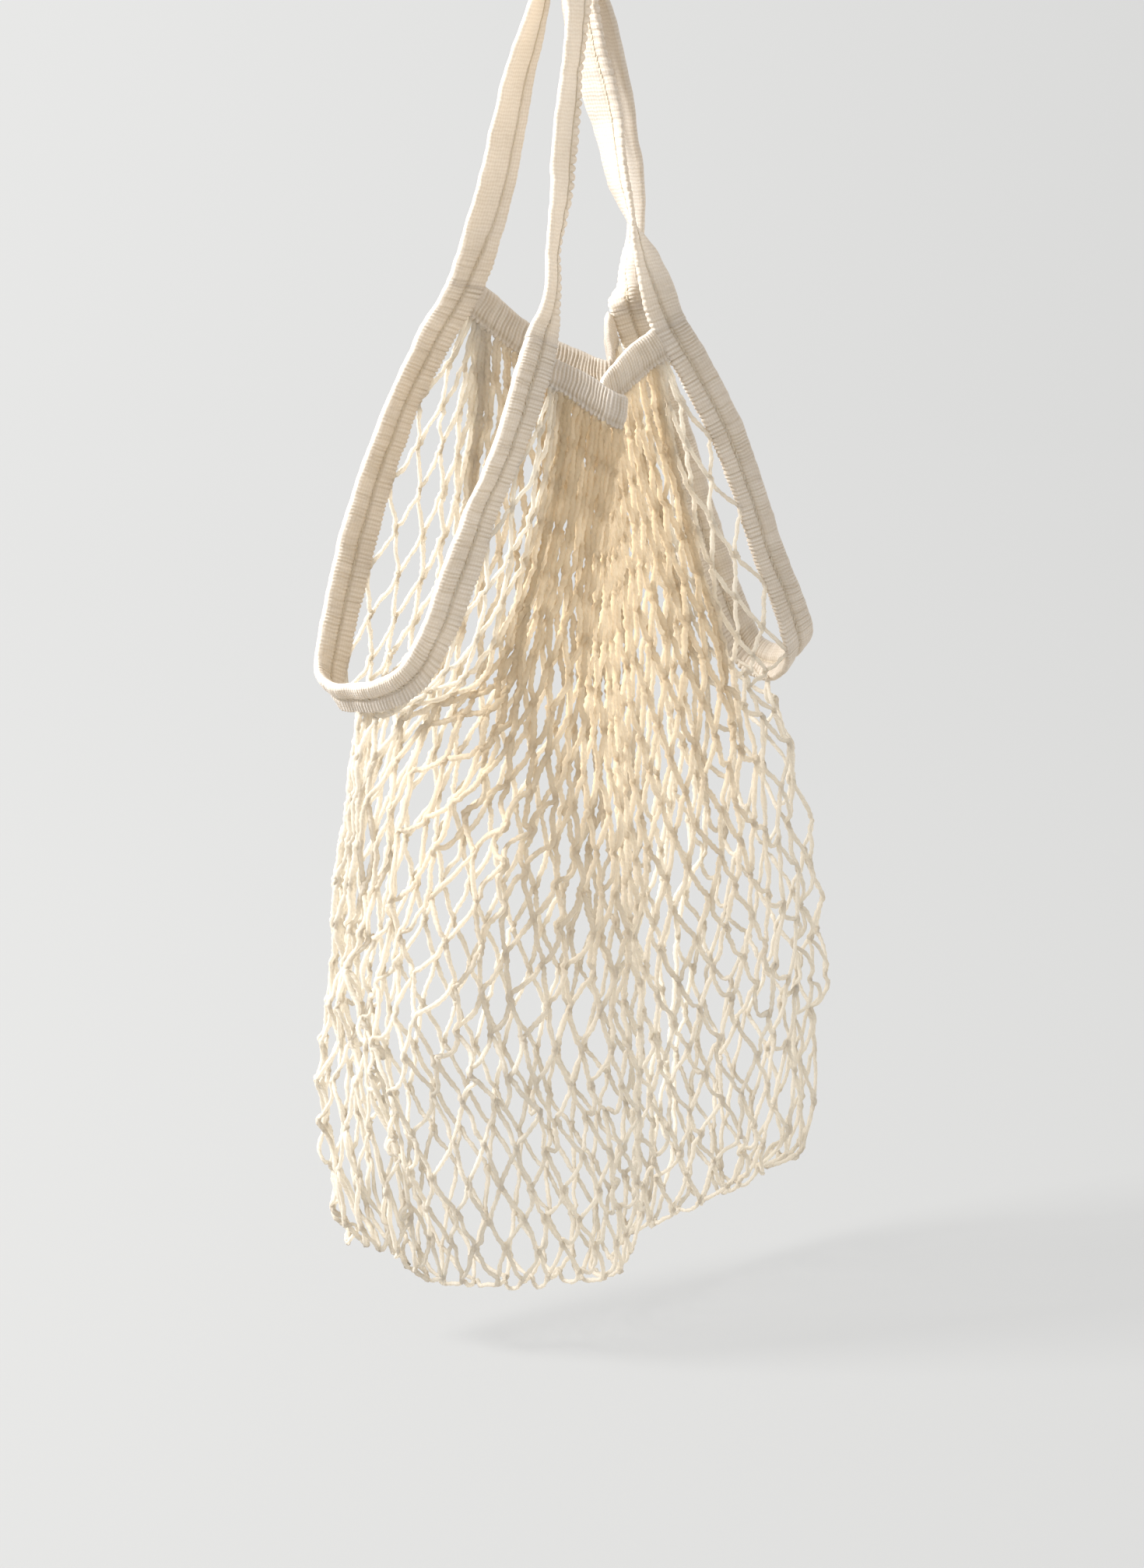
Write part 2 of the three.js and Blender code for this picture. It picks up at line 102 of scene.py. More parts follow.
# Net folds: the points that each fold falls through between its mouth band and the bottom.
FRONT_FOLDS = np.array([
    [[-58, -62, -297], [-83, -66, -372], [-103, -64, -458], [-115, -60, -556], [-112, -50, -604]],
    [[-23, -60, -314], [-24, -64, -392], [-19, -67, -480], [-11, -68, -578], [-3, -62, -622]],
    [[5, -38, -307], [11, -38, -383], [18, -35, -470], [25, -28, -572], [28, -22, -614]],
    [[48, -31, -302], [71, -31, -378], [82, -29, -467], [89, -25, -562], [92, -18, -606]],
], float)
BACK_FOLDS = np.array([
    [[-33, 47, -298], [-47, 50, -376], [-56, 51, -458], [-63, 49, -553], [-68, 38, -596]],
    [[20, 38, -304], [22, 45, -380], [24, 48, -466], [24, 46, -560], [18, 36, -602]],
    [[40, 24, -302], [46, 27, -378], [50, 29, -461], [52, 29, -555], [48, 24, -598]],
    [[82, 47, -304], [108, 60, -381], [116, 62, -465], [115, 60, -557], [110, 50, -598]],
], float)
BOTTOM_FOLD = np.array([[-92, -20, -652], [2, -32, -664], [32, -7, -655], [96, 7, -649]], float)
LEFT_SIDE = np.array([[-136, -14, -402], [-138, -8, -452], [-144, 7, -556], [-141, 9, -600], [-126, 6, -632]])
RIGHT_SIDE = np.array([[151, 14, -415], [154, 8, -472], [155, 2.5, -566], [152, 2.5, -607], [136, 8.5, -636]])
SIDE_LEVELS = np.array([6, 7, 9, 12, 13, 14], float)
FOLD_LEVELS = np.array([0, 3, 6, 9, 12, 13, 14], float)
SLIT_LEVEL = 6.0
LOW_LEVEL = 14.0


def linear(code: str) -> tuple[float, float, float, float]:
    """Turns an sRGB hex colour to linear RGBA.

    Args:
        code: six hex digits after a hash sign.

    Returns:
        Red, green, blue and full alpha.
    """
    parts = [int(code[i:i + 2], 16) / 255 for i in (1, 3, 5)]
    red, green, blue = (p / 12.92 if p <= 0.04045 else ((p + 0.055) / 1.055) ** 2.4 for p in parts)
    return red, green, blue, 1.0


def add_node(
    tree: bpy.types.NodeTree,
    kind: str,
    settings: dict[str, object] | None = None,
    values: dict[str | int, object] | None = None,
    links: dict[str | int, bpy.types.NodeSocket] | None = None,
) -> bpy.types.Node:
    """Adds a node with its settings, socket values and incoming links.

    Args:
        tree: the node tree.
        kind: the node's type name.
        settings: attributes to set on the node.
        values: constants to set on input sockets.
        links: output sockets to link to input sockets.

    Returns:
        The new node.
    """
    node = tree.nodes.new(kind)
    for key, value in (settings or {}).items():
        setattr(node, key, value)
    for key, value in (values or {}).items():
        node.inputs[key].default_value = value
    for key, socket in (links or {}).items():
        tree.links.new(socket, node.inputs[key])
    return node


def ease(low: float, high: float, value: np.ndarray) -> np.ndarray:
    """Rises smoothly from 0 at low to 1 at high."""
    part = np.clip((value - low) / (high - low), 0, 1)
    return part * part * (3 - 2 * part)


def unit(vectors: np.ndarray) -> np.ndarray:
    """Scales vectors along the last axis to length one."""
    return vectors / np.maximum(np.linalg.norm(vectors, axis=-1, keepdims=True), TINY)


def shares(stops: np.ndarray, value: np.ndarray) -> np.ndarray:
    """Where values lie along rising stops, as shares of the whole list."""
    return np.interp(value, stops, np.linspace(0, 1, len(stops)))


def wander(rng: np.random.Generator, reach: np.ndarray, wave: float, count: int = 4) -> np.ndarray:
    """A smooth random line of about unit height.

    Args:
        rng: the seeded random source.
        reach: places along the line.
        wave: the longest wavelength.
        count: how many waves are summed, each with its length shaken by up to a fifth.

    Returns:
        One value for each place.
    """
    total = np.zeros_like(reach)
    for order in range(1, count + 1):
        turns = 2 * math.pi * reach * order / wave * rng.uniform(0.8, 1.2)
        total += np.sin(turns + rng.uniform(0, 6.28)) / order
    return total / 1.5


def soften(values: np.ndarray, width: int) -> np.ndarray:
    """Smooths rows of random values and brings them back to their first spread.

    Args:
        values: rows of values of unit spread.
        width: an odd number of neighbours that share in each value.

    Returns:
        The smoothed rows.
    """
    window = np.hanning(width + 2)[1:-1]
    padded = np.pad(values, ((0, 0), (width // 2, width // 2)), mode="wrap")
    smooth = np.stack([np.convolve(row, window, "valid") for row in padded])
    return smooth / np.sqrt(np.sum(window ** 2))


def distances(points: np.ndarray) -> np.ndarray:
    """Distances along a row of points, or along each of a stack of rows, from its first point."""
    steps = np.linalg.norm(np.diff(points, axis=-2), axis=-1)
    return np.concatenate([np.zeros_like(steps[..., :1]), np.cumsum(steps, -1)], -1)


@dataclass(frozen=True)
class SmoothLine:
    """Smooth lines through rows of points, one line or a stack of them.

    The knots are spaced by the root of the distance between points.
    """

    points: np.ndarray
    closed: bool = False

    def at(self, share: np.ndarray) -> np.ndarray:
        """Points along the lines.

        Args:
            share: shares of the whole, one for each point wanted. With a stack of lines, one for each line,
                or a table with a row for each line.

        Returns:
            Points with the shape of share and a last axis of three.
        """
        stack = self.points.ndim == 3
        points = self.points if stack else self.points[None]
        place = np.asarray(share, float)
        table = place if place.ndim == 2 else (place[:, None] if stack else place[None])
        count = points.shape[1]
        spans = count if self.closed else count - 1
        if self.closed:
            padded = np.concatenate([points[:, -1:], points, points[:, :2]], 1)
        else:
            first = 2 * points[:, :1] - points[:, 1:2]
            last = 2 * points[:, -1:] - points[:, -2:-1]
            padded = np.concatenate([first, points, last], 1)
        reach = np.clip(table, 0, 1) * spans
        span = np.minimum(np.floor(reach).astype(int), spans - 1)
        part = (reach - span)[..., None]
        row = np.arange(len(points))[:, None]
        before, start, stop, after = (padded[row, span + step] for step in range(4))
        one, two, three = (
            np.maximum(np.sum((b - a) ** 2, -1, keepdims=True) ** 0.25, 1e-4)
            for a, b in ((before, start), (start, stop), (stop, after))
        )
        leave = ((start - before) / one - (stop - before) / (one + two) + (stop - start) / two) * two
        arrive = ((stop - start) / two - (after - start) / (two + three) + (after - stop) / three) * two
        square = -3 * start + 3 * stop - 2 * leave - arrive
        cube = 2 * start - 2 * stop + leave + arrive
        result = start + leave * part + square * part ** 2 + cube * part ** 3
        return result.reshape(place.shape + (3,))


@dataclass(frozen=True)
class Frames:
    """Frames along a tape: its middle, its hem, the ways across, out of and along it."""

    middle: np.ndarray
    hem: np.ndarray
    across: np.ndarray
    out: np.ndarray
    along: np.ndarray


class TapeRun:
    """A run of tape through its sections."""

    SAMPLES = 40
    NUDGE = 1e-4

    def __init__(self, sections: np.ndarray, width: float, closed: bool) -> None:
        """Measures the run.

        Args:
            sections: rows of x, y, z, aim and dip.
            width: the tape's width.
            closed: whether the run ends where it starts.
        """
        aim, dip = np.radians(sections[:, 3]), np.radians(sections[:, 4])
        across = np.stack([np.cos(dip) * np.cos(aim), np.cos(dip) * np.sin(aim), -np.sin(dip)], 1)
        middle = sections[:, :3]
        self.width = width
        self.closed = closed
        self.fold = SmoothLine(middle - across * width / 2, closed)
        self.middle = SmoothLine(middle, closed)
        self.hem = SmoothLine(middle + across * width / 2, closed)
        spans = len(sections) if closed else len(sections) - 1
        self.places = np.linspace(0, 1, spans * self.SAMPLES + 1)
        self.reaches = distances(self.middle.at(self.places))

    @property
    def length(self) -> float:
        """The run's whole length."""
        return float(self.reaches[-1])

    def at_row(self, row: int) -> float:
        """The distance along at a section."""
        return float(self.reaches[row * self.SAMPLES])

    def frames(self, reach: np.ndarray) -> Frames:
        """Frames at distances along, carried on straight past an open end.

        Args:
            reach: distances along the run.

        Returns:
            The frames there.
        """
        if self.closed:
            reach = np.mod(reach, self.length)
        place = np.interp(reach, self.reaches, self.places)
        fold, hem, middle = (line.at(place) for line in (self.fold, self.hem, self.middle))
        ahead = self.middle.at(np.minimum(place + self.NUDGE, 1))
        along = ahead - self.middle.at(np.maximum(place - self.NUDGE, 0))
        across = unit(hem - fold)
        along = unit(along - across * np.sum(along * across, 1, keepdims=True))
        past = (reach - np.clip(reach, 0, self.length))[:, None] * along
        return Frames(middle + past, hem + past, across, np.cross(across, along), along)


TAPE_WIDTH = 21.0
BAND_WIDTH = 17.0
TAPE = TapeRun(np.vstack([FRONT_HANDLE, RIGHT_BINDING, BACK_HANDLE, LEFT_BINDING]), TAPE_WIDTH, True)
RIGHT_START = len(FRONT_HANDLE)
BACK_START = RIGHT_START + len(RIGHT_BINDING)
LEFT_START = BACK_START + len(BACK_HANDLE)
FRONT_RIGHT = TAPE.at_row(RIGHT_START)
BACK_RIGHT = TAPE.at_row(BACK_START)
BACK_LEFT = TAPE.at_row(LEFT_START)
FRONT_LEFT = TAPE.length
RIGHT_TURN = TAPE.at_row(RIGHT_START + RIGHT_TURN_ROW)
LEFT_TURN = TAPE.at_row(LEFT_START + LEFT_TURN_ROW)
FRONT_RUN = TapeRun(FRONT_BAND, BAND_WIDTH, False)
BACK_RUN = TapeRun(BACK_BAND, BAND_WIDTH, False)


def mesh_object(name: str, points: np.ndarray, quads: np.ndarray, uvs: np.ndarray) -> bpy.types.Object:
    """A smooth mesh object from joined arrays.

    Args:
        name: the piece's name.
        points: corner points in millimetres.
        quads: four corner indices to a face.
        uvs: a pair for each corner of each face, in metres.

    Returns:
        The object, at the origin and in the scene.
    """
    mesh = bpy.data.meshes.new(name)
    mesh.vertices.add(len(points))
    mesh.vertices.foreach_set("co", np.ravel(points * MM).astype(np.float32))
    mesh.loops.add(quads.size)
    mesh.loops.foreach_set("vertex_index", np.ravel(quads).astype(np.int32))
    mesh.polygons.add(len(quads))
    mesh.polygons.foreach_set("loop_start", np.arange(0, quads.size, 4, dtype=np.int32))
    mesh.update(calc_edges=True)
    mesh.uv_layers.new(name="UVMap").data.foreach_set("uv", np.ravel(uvs).astype(np.float32))
    mesh.polygons.foreach_set("use_smooth", np.ones(len(quads), bool))
    mesh.validate()
    piece = bpy.data.objects.new(name, mesh)
    bpy.context.scene.collection.objects.link(piece)
    return piece


def grid_piece(name: str, columns: int, rows: int) -> tuple[bpy.types.Object, np.ndarray]:
    """Adds a flat grid to be draped.

    Args:
        name: the piece's name.
        columns: faces along its length.
        rows: faces across it.

    Returns:
        The object, and the share along and across of each of its points.
    """
    bpy.ops.object.select_all(action="DESELECT")
    bpy.ops.mesh.primitive_grid_add(x_subdivisions=columns, y_subdivisions=rows, size=1.0)
    piece = bpy.context.object
    piece.name = piece.data.name = name
    flat = np.empty(len(piece.data.vertices) * 3, np.float32)
    piece.data.vertices.foreach_get("co", flat)
    return piece, flat.reshape(-1, 3)[:, :2].astype(float) + 0.5


def ring_faces(reach: np.ndarray, sides: int, lap: float) -> tuple[np.ndarray, np.ndarray]:
    """Faces between the rings of a stack of round shapes.

    Args:
        reach: the distance along of each ring, a row for each shape.
        sides: points in a ring.
        lap: the distance round between two of them.

    Returns:
        Four corner indices to a face, and a UV pair in metres for each corner.
    """
    count, rings = reach.shape
    axes = (np.arange(count), np.arange(rings - 1), np.arange(sides))
    each, ring, edge = np.meshgrid(*axes, indexing="ij")
    corners = ((ring, edge), (ring, edge + 1), (ring + 1, edge + 1), (ring + 1, edge))
    quads = np.stack([(each * rings + r) * sides + e % sides for r, e in corners], -1)
    uvs = np.stack([np.stack([reach[each, r], e * lap], -1) for r, e in corners], 3)
    return quads.reshape(-1, 4), uvs.reshape(-1, 2) * MM


def mark_points(piece: bpy.types.Object, name: str, values: np.ndarray) -> None:
    """Gives each point of a piece a value that its material reads."""
    marks = piece.data.attributes.new(name, "FLOAT", "POINT")
    marks.data.foreach_set("value", values.astype(np.float32))


def close_piece(piece: bpy.types.Object, hole_sides: int, merged: bool) -> None:
    """Closes the open ends of a mesh and turns its faces outwards.

    Args:
        piece: the mesh object.
        hole_sides: the most sides of a hole that is filled, or 0 for any.
        merged: whether points that meet along a seam are merged first.
    """
    bpy.ops.object.select_all(action="DESELECT")
    bpy.context.view_layer.objects.active = piece
    piece.select_set(True)
    bpy.ops.object.mode_set(mode="EDIT")
    bpy.ops.mesh.select_all(action="SELECT")
    if merged:
        bpy.ops.mesh.remove_doubles(threshold=SEAM_GAP)
        bpy.ops.mesh.select_all(action="SELECT")
    bpy.ops.mesh.fill_holes(sides=hole_sides)
    bpy.ops.mesh.select_all(action="SELECT")
    bpy.ops.mesh.normals_make_consistent(inside=False)
    bpy.ops.object.mode_set(mode="OBJECT")


def place_piece(
    piece: bpy.types.Object, finish: bpy.types.Material, node: str | None = None,
) -> None:
    """Gives a finished piece its material and its place on the bag.

    Args:
        piece: the mesh object.
        finish: its material.
        node: the CAD node that it replaces, if it replaces one.
    """
    piece.data.materials.append(finish)
    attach(piece, BODY)
    if node:
        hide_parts(node)


class Colouring(Enum):
    """How far a finish is coloured by its own relief, not by broad patches: darker where the relief is low,
    partly the fibres' own flecked tone and partly painted shade in the grooves of plies and weave.
    """

    EVEN = 0.35
    MOTTLED = 0.55


@dataclass(frozen=True)
class CottonFinish:
    """Unbleached cotton, spun and left undyed: matt, soft and ecru, with light passing through thin layers.

    Where a piece has a point attribute that the finish reads, its value mixes in a second colour, which is
    painted light or painted shade.
    """

    name: str
    pale: str
    deep: str
    glow: str
    colouring: Colouring
    patch_mm: float = 24.0
    patch_detail: float = 4.0
    fleck_mm: float = 1.6
    fleck_detail: float = 3.0
    fleck_share: float = 0.4
    ramp_stops: tuple[float, float] = (0.25, 0.7)
    roughness: float = 0.92
    ior: float = 1.5
    specular: float = 0.2
    sheen: float = 0.2
    sheen_roughness: float = 0.6
    passing: float = 0.4
    bump_mm: float = 0.3
    bump_strength: float = 0.6
    painted_light_attribute: str = ""
    painted_light_colour: str = "#FFFFFF"

    def tint(self, tree: bpy.types.NodeTree, colour: bpy.types.NodeSocket) -> bpy.types.NodeSocket:
        """Mixes in the painted light or painted shade that the piece's point attribute marks.

        Args:
            tree: the material's node tree.
            colour: the colour of the open surface.

        Returns:
            The colour with its painted light or shade mixed in, or as it was for a finish that reads none.
        """
        if not self.painted_light_attribute:
            return colour
        painted_light_amount = add_node(tree, "ShaderNodeAttribute", {"attribute_name": self.painted_light_attribute})
        mixed = add_node(tree, "ShaderNodeMix", {"data_type": "RGBA"}, {7: linear(self.painted_light_colour)},
                         {0: painted_light_amount.outputs["Fac"], 6: colour})
        return mixed.outputs[2]

    def relief(self, tree: bpy.types.NodeTree) -> bpy.types.NodeSocket:
        """The surface's own pattern: fine flecks of loose fibre.

        Args:
            tree: the material's node tree.

        Returns:
            The pattern's height.
        """
        place = add_node(tree, "ShaderNodeTexCoord")
        size = {"Scale": 1 / (self.fleck_mm * MM), "Detail": self.fleck_detail}
        fleck = add_node(tree, "ShaderNodeTexNoise", None, size, {"Vector": place.outputs["Object"]})
        return fleck.outputs["Fac"]

    def material(self) -> bpy.types.Material:
        """Makes the material.

        Returns:
            The finished node material.
        """
        material = bpy.data.materials.new(self.name)
        material.use_nodes = True
        tree = material.node_tree
        tree.nodes.clear()
        place = add_node(tree, "ShaderNodeTexCoord")
        size = {"Scale": 1 / (self.patch_mm * MM), "Detail": self.patch_detail}
        patch = add_node(tree, "ShaderNodeTexNoise", None, size, {"Vector": place.outputs["Object"]})
        height = self.relief(tree)
        # The colour follows the relief, darker where it is low: partly flecked tone, partly painted shade in
        # the grooves of plies and weave.
        both = add_node(tree, "ShaderNodeMix", {"data_type": "FLOAT"}, {"Factor": self.colouring.value},
                        {2: patch.outputs["Fac"], 3: height})
        ramp = add_node(tree, "ShaderNodeValToRGB", None, None, {"Fac": both.outputs[0]})
        for stop, position, code in zip(ramp.color_ramp.elements, self.ramp_stops, (self.deep, self.pale)):
            stop.position = position
            stop.color = linear(code)
        bump = add_node(tree, "ShaderNodeBump", None,
                        {"Strength": self.bump_strength, "Distance": self.bump_mm * MM}, {"Height": height})
        surface = {"Normal": bump.outputs["Normal"]}
        cloth = add_node(tree, "ShaderNodeBsdfPrincipled", None, {
            "Roughness": self.roughness,
            "IOR": self.ior,
            "Specular IOR Level": self.specular,
            "Sheen Weight": self.sheen,
            "Sheen Roughness": self.sheen_roughness,
        }, surface | {"Base Color": self.tint(tree, ramp.outputs["Color"])})
        through = add_node(tree, "ShaderNodeBsdfTranslucent", None, {"Color": linear(self.glow)}, surface)
        both_ways = add_node(tree, "ShaderNodeMixShader", None, {0: self.passing},
                             {1: cloth.outputs["BSDF"], 2: through.outputs["BSDF"]})
        add_node(tree, "ShaderNodeOutputMaterial", None, None, {"Surface": both_ways.outputs["Shader"]})
        return material


@dataclass(frozen=True)
class TwistedYarn(CottonFinish):
    """Two-ply cotton yarn, loosely twisted: slanting plies give it a beaded, slightly hairy edge.

    Its colour is painted warmer where it hangs gathered, as painted glow of the light that has come through
    many strands there.
    """

    ply_mm: float = 2.2
    round_mm: float = 6.8
    wave_period: float = 2 * math.pi / 10
    # The painted glow: this warmer colour is mixed in where the yarn hangs gathered.
    painted_light_attribute: str = PAINTED_GLOW
    painted_light_colour: str = "#E9C990"

    def relief(self, tree: bpy.types.NodeTree) -> bpy.types.NodeSocket:
        """Slanting plies that run round the yarn, roughened by loose fibre.

        Args:
            tree: the material's node tree.

        Returns:
            The pattern's height.
        """
        place = add_node(tree, "ShaderNodeTexCoord")
        scale = (self.wave_period / (self.ply_mm * MM), self.wave_period * 2 / (self.round_mm * MM), 0.0)
        turned = add_node(tree, "ShaderNodeMapping", None, {"Scale": scale}, {"Vector": place.outputs["UV"]})
        plies = add_node(tree, "ShaderNodeTexWave", {"wave_type": "BANDS", "bands_direction": "DIAGONAL"},
                         {"Scale": 1.0, "Distortion": 1.2, "Detail": 2.0, "Detail Scale": 1.5},
                         {"Vector": turned.outputs["Vector"]})
        both = add_node(tree, "ShaderNodeMix", {"data_type": "FLOAT"}, {"Factor": self.fleck_share},
                        {2: plies.outputs["Fac"], 3: super().relief(tree)})
        return both.outputs[0]


@dataclass(frozen=True)
class WovenTape(CottonFinish):
    """Plain-woven cotton tape: threads across and along it catch the light as a fine dry grain.

    Its colour is painted darker in the grooves between the ribs, between the loops and along the seam:
    painted shade.
    """

    fleck_detail: float = 4.0
    thread_mm: float = 1.5
    pick_mm: float = 1.9
    thread_share: float = 0.42
    wave_period: float = 2 * math.pi / 20
    # The painted shade of the grooves: this darker colour is mixed in by the tape's groove attribute.
    painted_light_attribute: str = PAINTED_GROOVE_SHADE
    painted_light_colour: str = "#C0B29D"

    def relief(self, tree: bpy.types.NodeTree) -> bpy.types.NodeSocket:
        """Threads along and across the tape, drawn a little coarser than real so that they show.

        Args:
            tree: the material's node tree.

        Returns:
            The pattern's height.
        """
        place = add_node(tree, "ShaderNodeTexCoord")
        scale = (self.wave_period / (self.pick_mm * MM), self.wave_period / (self.thread_mm * MM), 0.0)
        sized = add_node(tree, "ShaderNodeMapping", None, {"Scale": scale}, {"Vector": place.outputs["UV"]})
        picks, threads = (
            add_node(tree, "ShaderNodeTexWave", {"wave_type": "BANDS", "bands_direction": way},
                     {"Scale": 1.0, "Distortion": 3.4, "Detail": 2.0, "Detail Scale": 1.1},
                     {"Vector": sized.outputs["Vector"]})
            for way in ("X", "Y")
        )
        weave = add_node(tree, "ShaderNodeMix", {"data_type": "FLOAT"}, {"Factor": self.thread_share},
                         {2: picks.outputs["Fac"], 3: threads.outputs["Fac"]})
        both = add_node(tree, "ShaderNodeMix", {"data_type": "FLOAT"}, {"Factor": self.fleck_share},
                        {2: weave.outputs[0], 3: super().relief(tree)})
        return both.outputs[0]


TAPE_FINISH = WovenTape(
    "woven_cotton_tape", "#F4EEE6", "#D3C8BA", "#EADFCC", Colouring.MOTTLED,
    passing=0.36, fleck_mm=2.2, bump_mm=0.4, bump_strength=0.6)
YARN_FINISH = TwistedYarn(
    "twisted_cotton_yarn", "#F0ECE4", "#E6DFD4", "#F4EEE2", Colouring.EVEN, passing=0.62)
THREAD_FINISH = CottonFinish(
    "cotton_sewing_thread", "#F3ECDD", "#E2D6C0", "#E6D6B4", Colouring.EVEN, fleck_mm=0.8)


@dataclass(frozen=True)
class Relief:
    """The shape of a tape's section and the ribs and loops along it, in millimetres."""

    step: float
    thick: float
    fold_thick: float
    seam_share: float
    seam_depth: float
    rib_pitch: float
    rib_depth: float
    loop_pitch: float
    loop_depth: float
    scallop: float
    bulge: float = 0.3
    seam_reach: float = 1.1
    # seam_shade, deep_seam and rib_shade set how much painted shade the seam and the rib grooves get.
    seam_shade: float = 0.75
    deep_seam: float = 0.6
    fold_round: float = 2.4
    hem_round: float = 1.1
    fold_start: float = 0.5
    rib_lane: tuple[float, float] = (0.4, 2.2)
    rib_bend: float = 0.9
    rib_wave: float = 0.55
    rib_drift: float = 5.0
    rib_shade: float = 0.8
    loop_lane: tuple[float, float] = (0.3, 1.6)
    loop_round: float = 0.55
    loop_level: float = 0.8
    scallop_start: float = 1.0
    thinnest: float = 0.25


class TapeKind(Enum):
    """The three ways that the tape is worn on the bag."""

    HANDLE = Relief(step=0.55, thick=2.7, fold_thick=3.4, seam_share=0.7, seam_depth=0.3, rib_pitch=1.7,
                    rib_depth=0.05, loop_pitch=4.4, loop_depth=0.9, scallop=1.7)
    BINDING = Relief(step=0.42, thick=3.2, fold_thick=3.7, seam_share=0.52, seam_depth=0.95, rib_pitch=1.8,
                     rib_depth=0.6, loop_pitch=2.4, loop_depth=0.6, scallop=1.1, bulge=1.2)
    BAND = Relief(step=0.36, thick=2.8, fold_thick=3.2, seam_share=0.8, seam_depth=0.35, rib_pitch=1.9,
                  rib_depth=0.75, loop_pitch=2.4, loop_depth=0.6, scallop=1.2, bulge=0.8)


